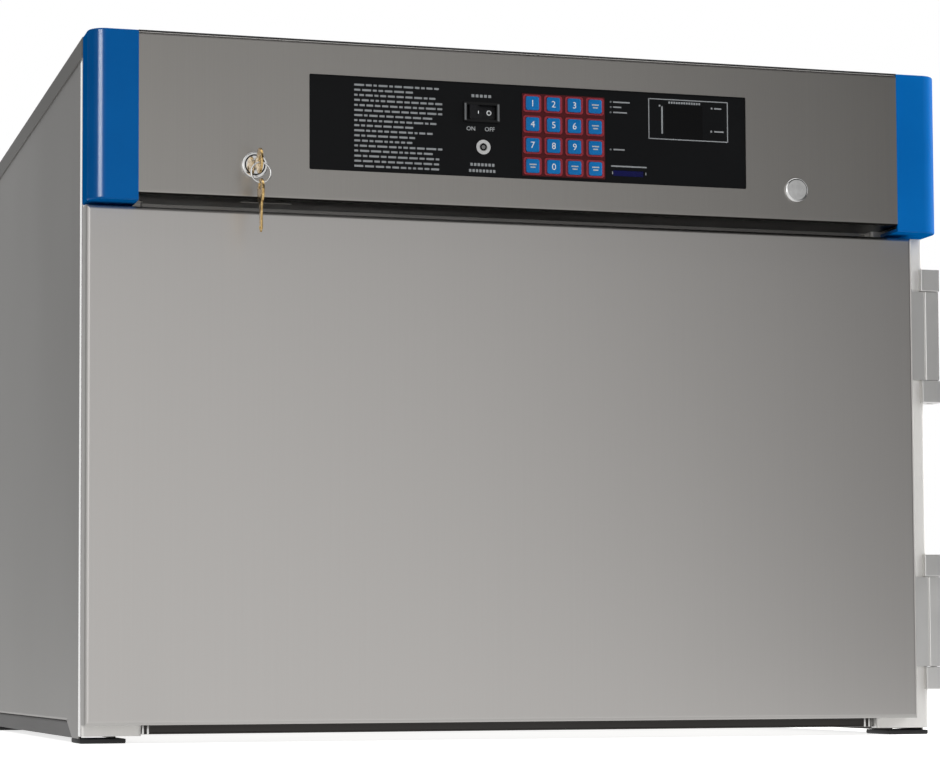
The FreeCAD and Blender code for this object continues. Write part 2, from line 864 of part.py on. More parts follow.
# ---- control panel ----
def control_panel():
    plate = block(
        -panel_half_width - panel_lap, panel_half_width + panel_lap, panel_front, panel_back,
        panel_bottom - panel_lap, panel_top + panel_lap,
    )
    low, high = panel_front - over, panel_back + over
    tools = [
        slot_tool(x, z, key_size + 2 * key_clearance, key_size + 2 * key_clearance, low, high, key_corner)
        for x, z in key_places
    ]
    tools.append(slot_tool(
        switch_x, switch_z, switch_width - 2 * switch_rim + 2 * switch_wall,
        switch_height - 2 * switch_side_rim + 2 * switch_wall, low, high, 0,
    ))
    tools.append(rod_y(lockout_body_radius, lockout_x, lockout_z, low, high))
    port_hole = slot_tool(port_x, port_z, port_width + 2 * port_gap, port_height + 2 * port_gap, low, high, 0)
    tools.append(port_hole)
    return less(plate, tools)


def keypad_frame():
    """Thin plate on the panel with a raised border round each key."""
    middle_x = (key_first_x + key_last_x) / 2
    middle_z = key_first_z - (key_rows - 1) * key_pitch_z / 2
    width = (key_columns - 1) * key_pitch_x + ring_width + 2 * pad_margin
    height = (key_rows - 1) * key_pitch_z + ring_height + 2 * pad_margin
    plate = slot_tool(middle_x, middle_z, width, height, panel_front - pad_sheet, panel_front, key_corner)
    front = panel_front - pad_sheet - ring_raise
    borders = [
        slot_tool(x, z, ring_width, ring_height, front, panel_front - pad_sheet, ring_corner)
        for x, z in key_places
    ]
    opening = key_size + 2 * key_clearance
    windows = [
        slot_tool(x, z, opening, opening, front - over, panel_front + over, key_corner) for x, z in key_places
    ]
    return less(joined([plate] + borders), windows)


def key_button(x, z):
    flange_front = panel_back + key_clearance
    flange_back = flange_front + key_flange_thickness
    cap = slot_tool(x, z, key_size, key_size, -key_proud, flange_front, key_corner)
    cap = rounded(cap, key_edge, lambda c, e: near(c.y, -key_proud))
    foot_size = key_size + 2 * key_flange
    foot = slot_tool(x, z, foot_size, foot_size, flange_front, flange_back, key_corner)
    stem = slot_tool(x, z, key_stem, key_stem, flange_back, flange_back + key_stem_length, 0)
    return joined([cap, foot, stem])


def switch_housing():
    bezel = slot_tool(
        switch_x, switch_z, switch_width, switch_height, panel_front - switch_bezel, panel_front, switch_wall
    )
    inner_width = switch_width - 2 * switch_rim
    inner_height = switch_height - 2 * switch_side_rim
    case = slot_tool(
        switch_x, switch_z, inner_width + 2 * switch_wall, inner_height + 2 * switch_wall,
        panel_front, panel_front + switch_body_depth, 0,
    )
    hollow = slot_tool(
        switch_x, switch_z, inner_width, inner_height, panel_front - switch_bezel - over,
        panel_front + switch_body_depth - switch_wall, 0,
    )
    reach = inner_height / 2 + switch_wall / 2 + trunnion_gap
    pivots = rod(
        trunnion_radius + trunnion_gap,
        Vector(switch_x, rocker_pivot_y, switch_z - reach),
        Vector(switch_x, rocker_pivot_y, switch_z + reach),
    )
    return less(joined([bezel, case]), [hollow, pivots])


def power_rocker():
    """Rocker with a dished face, resting with its right (off) end pressed in."""
    inner_height = switch_height - 2 * switch_side_rim
    half = inner_height / 2 - rocker_side_gap
    outline = [
        (-rocker_half, -rocker_rise), (0, -rocker_dip), (rocker_half, -rocker_rise),
        (rocker_half, rocker_dip), (rocker_heel, rocker_heel), (-rocker_heel, rocker_heel),
        (-rocker_half, rocker_dip),
    ]
    wedge = prism(outline, -half, half)
    reach = inner_height / 2 + switch_wall / 2
    pins = rod(trunnion_radius, Vector(0, 0, -reach), Vector(0, 0, reach))
    rocker = joined([wedge, pins])
    rocker.rotate(Vector(0, 0, 0), Vector(0, 0, 1), rocker_tilt)
    rocker.translate(Vector(switch_x, rocker_pivot_y, switch_z))
    return rocker


def lockout_barrel():
    pieces = [
        rod_y(lockout_rim_radius, lockout_x, lockout_z, lockout_front, panel_front),
        rod_y(lockout_body_radius, lockout_x, lockout_z, panel_front, lockout_back),
        hexagon(2 * lockout_nut_radius, lockout_x, lockout_z, panel_back, panel_back + lockout_nut),
    ]
    bore_radius = lockout_plug_radius + run_gap
    bore = rod_y(bore_radius, lockout_x, lockout_z, lockout_front - over, lockout_back + over)
    return joined(pieces).cut(bore)


def lockout_plug():
    """Tubular key switch core with a ring-shaped key slot and a driving flat behind."""
    core = rod_y(lockout_plug_radius, lockout_x, lockout_z, lockout_front, lockout_back)
    slot_end = lockout_front + lockout_ring_depth
    slot = rod_y(lockout_ring_outer, lockout_x, lockout_z, lockout_front - over, slot_end)
    post = rod_y(lockout_ring_inner, lockout_x, lockout_z, lockout_front - over, slot_end)
    notch = block(
        lockout_x - lockout_notch / 2, lockout_x + lockout_notch / 2,
        lockout_front - over, slot_end,
        lockout_z + lockout_ring_outer - lockout_notch / 2, lockout_z + lockout_plug_radius + over,
    )
    return less(core, [slot.cut(post), notch])


# ---- door lock and keys ----
def lock_barrel():
    rim = rod_y(lock_rim_radius, lock_x, lock_z, -lock_rim_proud, 0)
    rim = rounded(rim, lock_rim_edge, lambda c, e: near(c.y, -lock_rim_proud))
    body = rod_y(lock_body_radius, lock_x, lock_z, 0, lock_length)
    nut = hexagon(2 * lock_nut_radius, lock_x, lock_z, sheet, sheet + lock_nut)
    groove_bottom = lock_groove - lock_rim_proud
    groove = rod_y(lock_groove_outer, lock_x, lock_z, -lock_rim_proud - over, groove_bottom)
    core = rod_y(lock_groove_inner, lock_x, lock_z, -lock_rim_proud - over, groove_bottom)
    bore = rod_y(plug_radius + run_gap, lock_x, lock_z, -lock_rim_proud - over, lock_length + over)
    return less(joined([rim, body, nut]), [groove.cut(core), bore])


def lock_plug():
    core = rod_y(plug_radius, lock_x, lock_z, lock_front, lock_length)
    boss_half = boss_size / 2
    boss = block(
        lock_x - boss_half, lock_x + boss_half, lock_length, cam_back + boss_gap,
        lock_z - boss_half, lock_z + boss_half,
    )
    head = rod_y(screw_head_radius, lock_x, lock_z, cam_back + boss_gap, cam_back + boss_gap + screw_head)
    keyway = block(
        lock_x - keyway_width / 2, lock_x + keyway_width / 2, lock_front - over, lock_front + keyway_depth,
        lock_z - keyway_height / 2, lock_z + keyway_height / 2,
    )
    return joined([core, boss, head]).cut(keyway)


def lock_cam():
    """Cam that points to the right when unlocked and drops behind the door's top edge when locked."""
    tip_x = cam_length - cam_tip_radius
    lift = math.asin((cam_root_radius - cam_tip_radius) / tip_x)
    root, tip = Vector(0, 0, 0), Vector(tip_x, 0, 0)
    up = Vector(math.sin(lift), math.cos(lift), 0)
    down = Vector(up.x, -up.y, 0)
    edges = [
        Part.makeLine(root + up * cam_root_radius, tip + up * cam_tip_radius),
        Part.Arc(
            tip + up * cam_tip_radius, tip + Vector(cam_tip_radius, 0, 0), tip + down * cam_tip_radius
        ).toShape(),
        Part.makeLine(tip + down * cam_tip_radius, root + down * cam_root_radius),
        Part.Arc(
            root + down * cam_root_radius, root - Vector(cam_root_radius, 0, 0), root + up * cam_root_radius
        ).toShape(),
    ]
    arm = Part.Face(Part.Wire(edges)).extrude(Vector(0, 0, cam_thickness))
    hole = boss_size / 2 + boss_gap
    arm = arm.cut(block(-hole, hole, -hole, hole, -over, cam_thickness + over))
    arm.rotate(Vector(0, 0, 0), Vector(1, 0, 0), -90)
    arm.translate(Vector(lock_x, cam_front, lock_z))
    return arm


def flat_key():
    """A key along X: bow centred on the origin, blade towards +X, flat in the XY plane."""
    half = key_bow_thickness / 2
    bow = Part.makeCylinder(key_bow_radius, key_bow_thickness, Vector(0, 0, -half))
    shoulder_half = key_shoulder_height / 2
    shoulder = block(0, key_shoulder, -shoulder_half, shoulder_half, -half, half)
    blade_half = key_blade_height / 2
    tip_start = key_blade_length - key_tip
    outline = [
        (0, -blade_half), (tip_start, -blade_half), (key_blade_length, 0),
        (tip_start, blade_half), (0, blade_half),
    ]
    blade = prism(outline, -key_blade_thickness / 2, key_blade_thickness / 2)
    holes = [(key_hole_radius, -key_hole_offset, 0)]
    for index in range(key_cuts):
        x = key_blade_length - key_cut_first - index * key_cut_pitch
        holes.append((key_cut_radius, x, blade_half + key_cut_offset))
    cuts = [
        Part.makeCylinder(radius, 2 * key_bow_thickness, Vector(x, y, -key_bow_thickness))
        for radius, x, y in holes
    ]
    return less(joined([bow, shoulder, blade]), cuts)


def door_key():
    """The key in the lock, its bow upright."""
    shape = flat_key()
    shape.rotate(Vector(0, 0, 0), Vector(0, 0, 1), 90)
    shape.rotate(Vector(0, 0, 0), Vector(0, 1, 0), 90)
    shape.translate(Vector(lock_x, key_bow_y, lock_z))
    return shape


def key_ring():
    centre = Vector(lock_x, key_ring_y, ring_wire_z - ring_radius)
    return Part.makeTorus(ring_radius, ring_wire_radius, centre, Vector(0, 1, 0))


def spare_key():
    """The same key, hanging from the ring with its blade down."""
    shape = flat_key()
    shape.rotate(Vector(0, 0, 0), Vector(1, 0, 0), 90)
    shape.rotate(Vector(0, 0, 0), Vector(0, 1, 0), 90)
    shape.rotate(Vector(0, 0, 0), Vector(0, 0, 1), 90)
    shape.translate(Vector(lock_x, key_ring_y, spare_bow_z))
    return shape


# ---- door ----
def door_skin():
    outer = block(door_left, door_right, door_set_back, door_back, door_bottom, door_top)
    outer = rounded(outer, door_bend, lambda c, e: near(c.y, door_set_back))
    inner = block(
        door_left + sheet, door_right - sheet, door_set_back + sheet, door_back + over,
        door_bottom + sheet, door_top - sheet,
    )
    inner = rounded(inner, door_bend - sheet, lambda c, e: near(c.y, door_set_back + sheet))
    slot = cam_slot(lock_z - door_top, door_top - sheet - over, door_top + over)
    return less(outer, [inner, slot])


def hat_limits(inset):
    side = gasket_side + hat_margin - inset
    return side, gasket_bottom - hat_margin + inset, gasket_top + hat_margin - inset


def door_inner_pan():
    """Pan that closes the door's back; its middle steps in between the stiles and carries the gasket."""
    plate = block(
        door_left + sheet, door_right - sheet, pan_plate_front, door_back,
        door_bottom + sheet, door_top - sheet,
    )
    side, low, high = hat_limits(0)
    step = block(-side, side, pan_plate_front, hat_back, low, high)
    step = rounded(step, bend, lambda c, e: near(c.y, hat_back))
    side, low, high = hat_limits(sheet)
    hollow = block(-side, side, pan_plate_front - over, hat_back - sheet, low, high)
    return joined([plate, step]).cut(hollow)


def door_insulation():
    inset = sheet + insulation_inset
    slab = block(
        door_left + inset, door_right - inset, door_set_back + sheet, pan_plate_front,
        door_bottom + inset, door_top - inset,
    )
    side, low, high = hat_limits(inset)
    fill = block(-side, side, pan_plate_front - over, hat_back - sheet, low, high)
    depth = lock_z - cam_length - cam_clearance
    pocket = cam_slot(lock_z - door_top, depth, door_top)
    return less(joined([slab, fill]), [pocket])


def door_gasket():
    """Soft seal round the chamber opening."""
    ring = []
    for grow in (gasket_width / 2, -gasket_width / 2):
        side = gasket_side + grow
        solid = block(-side, side, hat_back, gasket_back, gasket_bottom - grow, gasket_top + grow)
        corner = gasket_width + grow
        ring.append(rounded(solid, corner, lambda c, e: e.BoundBox.YLength > 0.9 * (gasket_back - hat_back)))
    seal = ring[0].cut(ring[1])
    return rounded(seal, gasket_width / 6, lambda c, e: near(c.y, gasket_back))


# ---- hinges ----
def hinge_frame_leaf(middle):
    """Two end blocks that lap the stile's corner, on a leaf that is screwed to the body's side."""
    low, high = middle - hinge_height / 2, middle + hinge_height / 2
    front, back = hinge_pin_y - hinge_end_front, hinge_pin_y + hinge_end_back
    left, right = pin_x - hinge_end_left, pin_x + hinge_end_right
    blocks = [
        rounded(
            block(left, right, front, back, z, z + hinge_end_height),
            hinge_end_corner, lambda c, e: near(c.y, front),
        )
        for z in (low, high - hinge_end_height)
    ]
    plate = block(half_width, half_width + hinge_plate, back, back + hinge_plate_depth, low, high)
    body = block(left - over, half_width, stile_front, back + over, low - over, high + over)
    bore = rod(pin_radius, Vector(pin_x, hinge_pin_y, low - over), Vector(pin_x, hinge_pin_y, high + over))
    return less(joined(blocks + [plate]), [body, bore])


def hinge_frame_leaves():
    return [hinge_frame_leaf(middle) for middle in hinge_middles]


def hinge_door_leaf(middle):
    """Knuckle bar with a round back between the end blocks, and a strap to a leaf on the door's edge."""
    half_height = hinge_height / 2 - hinge_end_height - hinge_gap
    low, high = middle - half_height, middle + half_height
    bar_front = hinge_pin_y - hinge_bar_front
    face = block(pin_x - hinge_bar_half, pin_x + hinge_bar_half, bar_front, hinge_pin_y, low, high)
    face = rounded(face, hinge_bar_corner, lambda c, e: is_upright(e) and near(c.y, bar_front))
    bar_low, bar_high = Vector(pin_x, hinge_pin_y, low), Vector(pin_x, hinge_pin_y, high)
    back = rod(hinge_bar_half, bar_low, bar_high)
    strap_front = bar_front + hinge_strap_step
    strap_back = strap_front + hinge_strap
    strap = block(door_right, pin_x, strap_front, strap_back, low, high)
    leaf_front = door_back - hinge_leaf_depth
    leaf = block(door_right, door_right + hinge_leaf, leaf_front, strap_back, low, high)
    past = Vector(0, 0, over)
    bore = rod(pin_radius + run_gap, bar_low - past, bar_high + past)
    return joined([face, back, strap, leaf]).cut(bore)


def hinge_door_leaves():
    return [hinge_door_leaf(middle) for middle in hinge_middles]


def hinge_pins():
    half = hinge_height / 2
    return [
        rod(pin_radius, Vector(pin_x, hinge_pin_y, low), Vector(pin_x, hinge_pin_y, high))
        for low, high in ((z - half + sheet, z + half - sheet) for z in hinge_middles)
    ]


# ---- electronics and rear fittings ----
def control_board():
    """Board behind the panel with its posts, key switches, display block and data socket."""
    low, high = panel_bottom + board_margin, panel_top - board_margin
    pieces = [block(board_left, board_right, board_front, board_back, low, high)]
    edge = 2 * post_radius
    keys_right = key_last_x + key_size / 2 + key_flange
    for x in (board_left + edge, (keys_right + port_x - port_width / 2) / 2, board_right - edge):
        for z in (low + edge, high - edge):
            pieces.append(rod_y(post_radius, x, z, panel_back, board_front))
    switch_front = (
        panel_back + key_clearance + key_flange_thickness + key_stem_length + key_travel + switch_block_gap
    )
    pieces += [
        slot_tool(x, z, switch_block, switch_block, switch_front, board_front, 0) for x, z in key_places
    ]
    pieces.append(slot_tool(
        display_x, display_z, display_width, display_height, panel_back + display_gap, board_front, 0
    ))
    pieces.append(slot_tool(
        port_x, port_z, port_width, port_height, panel_front + port_recess, board_front, 0
    ))
    return joined(pieces)


def cord_gland():
    """Gland for the supply cord, clamped in the back panel."""
    pieces = [
        hexagon(2 * gland_radius, gland_x, gland_z, body_depth, body_depth + gland_hex),
        rod_y(gland_cap_radius, gland_x, gland_z, body_depth + gland_hex, body_depth + gland_length),
        rod_y(gland_neck_radius, gland_x, gland_z, back_inner - gland_nut, body_depth),
        hexagon(2 * gland_radius, gland_x, gland_z, back_inner - gland_nut, back_inner),
    ]
    pieces[1] = rounded(pieces[1], bend, lambda c, e: near(c.y, body_depth + gland_length))
    bore_start, bore_end = back_inner - gland_nut - over, body_depth + gland_length + over
    bore = rod_y(gland_bore_radius, gland_x, gland_z, bore_start, bore_end)
    return joined(pieces).cut(bore)


def panel_screws():
    screws = []
    for side in (-1, 1):
        for x, z in screw_places(side):
            head = rod_y(screw_cap_radius, x, z, body_depth, body_depth + screw_cap)
            head = rounded(head, screw_cap / 2, lambda c, e: near(c.y, body_depth + screw_cap))
            screws.append(joined([head, rod_y(screw_radius, x, z, body_depth - screw_reach, body_depth)]))
    return screws


# ---- the whole ----
def all_parts():
    left_panel = side_panel()
    right_trim = corner_trim()
    parts = {
        "left_side_panel": left_panel,
        "right_side_panel": mirrored(left_panel),
        "top_cover": top_cover(),
        "back_panel": back_panel(),
        "base_pan": base_pan(),
        "base_rails": base_rails(),
        "foot_pads": foot_pads(),
        "front_stiles": front_stiles(),
        "face_plate": face_plate(),
        "chamber_liner": chamber_liner(),
        "insulation_blankets": insulation_blankets(),
        "rear_baffle": rear_baffle(),
        "heater_element": heater_element(),
        "fan_motor": fan_motor(),
        "temperature_sensors": temperature_sensors(),
        "shelf_supports": shelf_supports(),
        "header_fascia": header_fascia(),
        "left_corner_trim": mirrored(right_trim),
        "right_corner_trim": right_trim,
        "control_panel": control_panel(),
        "keypad_frame": keypad_frame(),
        "switch_housing": switch_housing(),
        "lockout_barrel": lockout_barrel(),
        "lock_barrel": lock_barrel(),
        "hole_plug": hole_plug(),
        "control_board": control_board(),
        "cord_gland": cord_gland(),
        "panel_screws": panel_screws(),
        "hinge_frame_leaves": hinge_frame_leaves(),
        "hinge_pins": hinge_pins(),
        "power_rocker": power_rocker(),
        "lockout_plug": lockout_plug(),
        "lock_plug": lock_plug(),
        "lock_cam": lock_cam(),
        "door_key": door_key(),
        "key_ring": key_ring(),
        "spare_key": spare_key(),
        "fan_impeller": fan_impeller(),
        "shelf": shelf(),
        "door_skin": door_skin(),
        "door_inner_pan": door_inner_pan(),
        "door_insulation": door_insulation(),
        "door_gasket": door_gasket(),
        "hinge_door_leaves": hinge_door_leaves(),
    }
    for name, (x, z) in zip(key_names, key_places):
        parts[name] = key_button(x, z)
    return {name: Part.makeCompound(p) if isinstance(p, list) else p for name, p in parts.items()}


parts = all_parts()
extent = Part.makeCompound(list(parts.values())).optimalBoundingBox()
origin = Vector((extent.XMin + extent.XMax) / 2, (extent.YMin + extent.YMax) / 2, 0)

os.makedirs("parts", exist_ok=True)
for name, shape in parts.items():
    shape.translate(-origin)
    shape.exportStep(f"parts/{name}.step")
print(f"{len(parts)} parts, {extent.XLength:.1f} x {extent.YLength:.1f} x {extent.ZLength:.1f} mm")
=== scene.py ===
import json
import math
import random

import bmesh
import bpy
from mathutils import Matrix, Vector

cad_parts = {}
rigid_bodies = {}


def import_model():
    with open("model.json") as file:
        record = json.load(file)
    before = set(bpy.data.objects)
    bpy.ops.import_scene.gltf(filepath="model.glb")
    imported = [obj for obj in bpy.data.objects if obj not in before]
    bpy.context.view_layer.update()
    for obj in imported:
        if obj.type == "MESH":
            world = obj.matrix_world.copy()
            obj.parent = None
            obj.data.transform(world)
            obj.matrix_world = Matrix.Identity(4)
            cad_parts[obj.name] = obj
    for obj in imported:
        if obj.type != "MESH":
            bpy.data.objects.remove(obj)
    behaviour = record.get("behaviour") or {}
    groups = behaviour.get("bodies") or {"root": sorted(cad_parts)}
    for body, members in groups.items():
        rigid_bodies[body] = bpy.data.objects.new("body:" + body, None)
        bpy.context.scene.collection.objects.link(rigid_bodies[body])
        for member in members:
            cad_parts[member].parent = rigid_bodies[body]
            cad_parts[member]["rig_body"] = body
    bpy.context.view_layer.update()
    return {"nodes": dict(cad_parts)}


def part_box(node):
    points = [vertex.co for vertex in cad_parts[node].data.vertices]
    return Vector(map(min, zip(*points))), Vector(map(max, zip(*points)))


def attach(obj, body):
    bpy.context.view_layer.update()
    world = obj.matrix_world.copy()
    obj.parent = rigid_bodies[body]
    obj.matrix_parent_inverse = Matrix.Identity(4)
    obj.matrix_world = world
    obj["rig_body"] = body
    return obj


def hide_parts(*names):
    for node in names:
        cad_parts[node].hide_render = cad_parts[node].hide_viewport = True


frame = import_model()
nodes = frame["nodes"]
mm = 0.001
centreLine = 0.0066     # the model's origin is this far right of the body's centreline
headerFace = 0.3302     # and this far behind the header's face
print("frame loaded:", len(nodes), "nodes")


def place(x, y, z):
    # from the cabinet's own millimetres: x from the centreline, y back from the header, z up
    return Vector((x * mm - centreLine, y * mm - headerFace, z * mm))


def pickNothing():
    if bpy.context.object and bpy.context.object.mode != "OBJECT":
        bpy.ops.object.mode_set(mode="OBJECT")
    bpy.ops.object.select_all(action="DESELECT")


def pickOnly(piece):
    pickNothing()
    piece.select_set(True)
    bpy.context.view_layer.objects.active = piece


def settle(piece):
    # the place goes into the mesh, so the object itself stays at the origin
    pickOnly(piece)
    bpy.ops.object.transform_apply(location=True, rotation=True, scale=True)


def pickParts(piece, kind, test):
    # goes into edit mode with only the faces or edges that pass the test selected
    pickOnly(piece)
    bpy.ops.object.mode_set(mode="EDIT")
    bpy.ops.mesh.select_mode(type=kind)
    bpy.ops.mesh.select_all(action="DESELECT")
    mesh = bmesh.from_edit_mesh(piece.data)
    mesh.normal_update()
    for part in mesh.faces if kind == "FACE" else mesh.edges:
        if test(part):
            part.select_set(True)
    bmesh.update_edit_mesh(piece.data)


squareOn = 0.99     # the least cosine at which a face counts as looking a given way


def facing(way):
    # a test for faces that look a given way
    return lambda face: face.normal.dot(Vector(way)) > squareOn


def facingFrontOrBack(face):
    return abs(face.normal.y) > squareOn


def runningBack(least):
    # a test for edges that run from front to back over more than a given length
    return lambda edge: abs(edge.verts[0].co.y - edge.verts[1].co.y) > least


def addBox(name, low, high):
    pickNothing()
    low, high = Vector(low), Vector(high)
    bpy.ops.mesh.primitive_cube_add(size=1, location=(low + high) / 2)
    piece = bpy.context.object
    piece.name = name
    piece.scale = high - low
    settle(piece)
    return piece


def addRod(name, centre, radius, length, sides):
    # a round disc or rod that faces the front
    pickNothing()
    bpy.ops.mesh.primitive_cylinder_add(
        vertices=sides, radius=radius, depth=length, location=centre, rotation=(math.pi / 2, 0, 0)
    )
    piece = bpy.context.object
    piece.name = name
    settle(piece)
    return piece


def extrudeBy(x, y, z):
    bpy.ops.mesh.extrude_region_move(TRANSFORM_OT_translate={"value": (x, y, z)})


def extrudeDome(rise, steps, middle):
    # forwards from the selected face in steps: the width left, and the share of the rise
    for width, share in steps:
        extrudeBy(0, -rise * share, 0)
        bpy.ops.transform.resize(value=(width, 1, width), center_override=middle)


def openUp(piece, width):
    # cuts a box or a rod through from front to back and leaves a frame or a ring of that width
    pickParts(piece, "FACE", facingFrontOrBack)
    bpy.ops.mesh.inset(thickness=width)
    bpy.ops.mesh.bridge_edge_loops()


def bevelEdges(piece, width, segments, sharperThan=30):
    pickOnly(piece)
    bevel = piece.modifiers.new("Bevel", "BEVEL")
    bevel.width, bevel.segments = width, segments
    bevel.limit_method = "ANGLE"
    bevel.angle_limit = math.radians(sharperThan)
    bpy.ops.object.modifier_apply(modifier=bevel.name)


def copyOf(piece, name, shift):
    pickOnly(piece)
    bpy.ops.object.duplicate(linked=False)
    made = bpy.context.object
    made.name = name
    bpy.ops.transform.translate(value=shift)
    settle(made)
    return made


def joinPieces(pieces, name):
    pickNothing()
    for piece in pieces:
        piece.select_set(True)
    bpy.context.view_layer.objects.active = pieces[0]
    bpy.ops.object.join()
    made = bpy.context.object
    made.name = name
    return made


def smoothFaces(piece, degrees=40):
    pickOnly(piece)
    bpy.ops.object.shade_smooth_by_angle(angle=math.radians(degrees))


def paint(piece, material):
    piece.data.materials.clear()
    piece.data.materials.append(material)


def finishPiece(piece, body):
    pickNothing()
    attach(piece, body)


nodeCopy = {"mergeWithin": 0.002 * mm, "quadLimit": 0.02}


def copyNode(node, name):
    # a merged copy of a node's mesh, to be finished as a piece of its own
    made = bpy.data.objects.new(name, nodes[node].data.copy())
    bpy.context.scene.collection.objects.link(made)
    pickOnly(made)
    bpy.ops.object.mode_set(mode="EDIT")
    bpy.ops.mesh.select_all(action="SELECT")
    bpy.ops.mesh.remove_doubles(threshold=nodeCopy["mergeWithin"])
    bpy.ops.mesh.tris_convert_to_quads(
        face_threshold=nodeCopy["quadLimit"], shape_threshold=nodeCopy["quadLimit"]
    )
    bpy.ops.object.mode_set(mode="OBJECT")
    return made


def toLinear(hexText):
    # an sRGB hex value as linear red, green and blue, with a full alpha
    values = [int(hexText[i:i + 2], 16) / 255 for i in (0, 2, 4)]
    return [v / 12.92 if v <= 0.04045 else ((v + 0.055) / 1.055) ** 2.4 for v in values] + [1.0]


def addNode(tree, kind, settings={}, inputs={}):
    # a node or a socket given as a value is linked, any other value is set
    node = tree.nodes.new(kind)
    for key, value in settings.items():
        setattr(node, key, value)
    for key, value in inputs.items():
        if isinstance(value, bpy.types.Node):
            value = next(socket for socket in value.outputs if socket.enabled)
        if isinstance(value, bpy.types.NodeSocket):
            tree.links.new(value, node.inputs[key])
        else:
            node.inputs[key].default_value = value
    return node


def newMaterial(name):
    material = bpy.data.materials.new(name)
    material.use_nodes = True
    material.node_tree.nodes.clear()
    return material, material.node_tree


beltRub = {
    # the real scratches are 0.1 mm wide and are drawn about 1 mm wide so that they show
    "scratchesPerMm": 0.9, "scratchLength": 200 * mm, "scratchDepth": 0.08 * mm,
    "cloudWidth": 333 * mm, "cloudHeight": 500 * mm,        # cloudy handling marks
    "scratchShare": 0.35,       # how much a scratch counts beside a cloud
    "unevenGloss": 0.04,
}


def satinSteel(name, light, dark, roughness, smear=0.6, relief=0.04, edge=None, metallic=1.0):
    # stainless sheet rubbed with an abrasive belt: reflections smear up and down, with soft
    # streaks and cloudy handling marks
    material, tree = newMaterial(name)
    spot = addNode(tree, "ShaderNodeTexCoord")
    across = beltRub["scratchesPerMm"] / mm
    along = addNode(
        tree, "ShaderNodeMapping", {},
        {"Vector": spot.outputs["Object"], "Scale": (across, across, 1 / beltRub["scratchLength"])},
    )
    grain = addNode(tree, "ShaderNodeTexNoise", {}, {"Vector": along, "Scale": 1.0, "Detail": 3.0})
    across = 1 / beltRub["cloudWidth"]
    wide = addNode(
        tree, "ShaderNodeMapping", {},
        {"Vector": spot.outputs["Object"], "Scale": (across, across, 1 / beltRub["cloudHeight"])},
    )
    cloud = addNode(tree, "ShaderNodeTexNoise", {}, {"Vector": wide, "Scale": 1.0, "Detail": 3.0})
    tone = addNode(
        tree, "ShaderNodeMath", {"operation": "MULTIPLY_ADD"},
        {0: grain, 1: beltRub["scratchShare"], 2: cloud},
    )
    share = addNode(
        tree, "ShaderNodeMapRange", {}, {"Value": tone, "From Min": 0.35, "From Max": 1.0}
    )
    colour = addNode(
        tree, "ShaderNodeMix", {"data_type": "RGBA"},
        {"Factor": share, 6: toLinear(dark), 7: toLinear(light)},
    )
    rough = addNode(
        tree, "ShaderNodeMapRange", {},
        {"Value": share, "To Min": roughness - beltRub["unevenGloss"],
         "To Max": roughness + beltRub["unevenGloss"]},
    )
    if edge:
        # a second colour and roughness where the sheet turns a given way: a duller or polished
        # finish, or painted shade on the header's underside
        turn = addNode(
            tree, "ShaderNodeVectorMath", {"operation": "DOT_PRODUCT"},
            {0: spot.outputs["Normal"], 1: edge["way"]},
        )
        turn = addNode(tree, "ShaderNodeMath", {"operation": edge["sides"]}, {0: turn, 1: 0.0})
        part = addNode(
            tree, "ShaderNodeMapRange", {},
            {"Value": turn, "From Min": edge["start"], "From Max": edge["end"]},
        )
        colour = addNode(
            tree, "ShaderNodeMix", {"data_type": "RGBA"},
            {"Factor": part, 6: colour, 7: toLinear(edge["colour"])},
        )
        rough = addNode(tree, "ShaderNodeMix", {}, {"Factor": part, 2: rough, 3: edge["roughness"]})
    bump = addNode(
        tree, "ShaderNodeBump", {},
        {"Height": grain, "Strength": relief, "Distance": beltRub["scratchDepth"]},
    )
    shader = addNode(
        tree, "ShaderNodeBsdfPrincipled", {},
        {"Base Color": colour, "Roughness": rough, "Normal": bump, "Metallic": metallic,
         "Anisotropic": smear, "Anisotropic Rotation": 0.25},
    )
    addNode(tree, "ShaderNodeOutputMaterial", {}, {"Surface": shader})
    return material


def brightMetal(name, light, dark, roughness, marks):
    # plated or polished metal: an even mirror with faint wipe marks, their width in millimetres
    material, tree = newMaterial(name)
    spot = addNode(tree, "ShaderNodeTexCoord").outputs["Object"]
    wipes = addNode(
        tree, "ShaderNodeTexNoise", {}, {"Vector": spot, "Scale": 1 / (marks * mm), "Detail": 4.0}
    )
    share = addNode(
        tree, "ShaderNodeMapRange", {}, {"Value": wipes, "From Min": 0.3, "From Max": 0.7}
    )
    colour = addNode(
        tree, "ShaderNodeMix", {"data_type": "RGBA"},
        {"Factor": share, 6: toLinear(dark), 7: toLinear(light)},
    )
    rough = addNode(
        tree, "ShaderNodeMapRange", {},
        {"Value": share, "To Min": roughness * 0.85, "To Max": roughness * 1.2},
    )
    shader = addNode(
        tree, "ShaderNodeBsdfPrincipled", {},
        {"Base Color": colour, "Roughness": rough, "Metallic": 1.0},
    )
    addNode(tree, "ShaderNodeOutputMaterial", {}, {"Surface": shader})
    return material


plasticSkin = {"cloudWidth": 71.4 * mm, "grainDepth": 0.06 * mm, "sheerFade": 0.15}


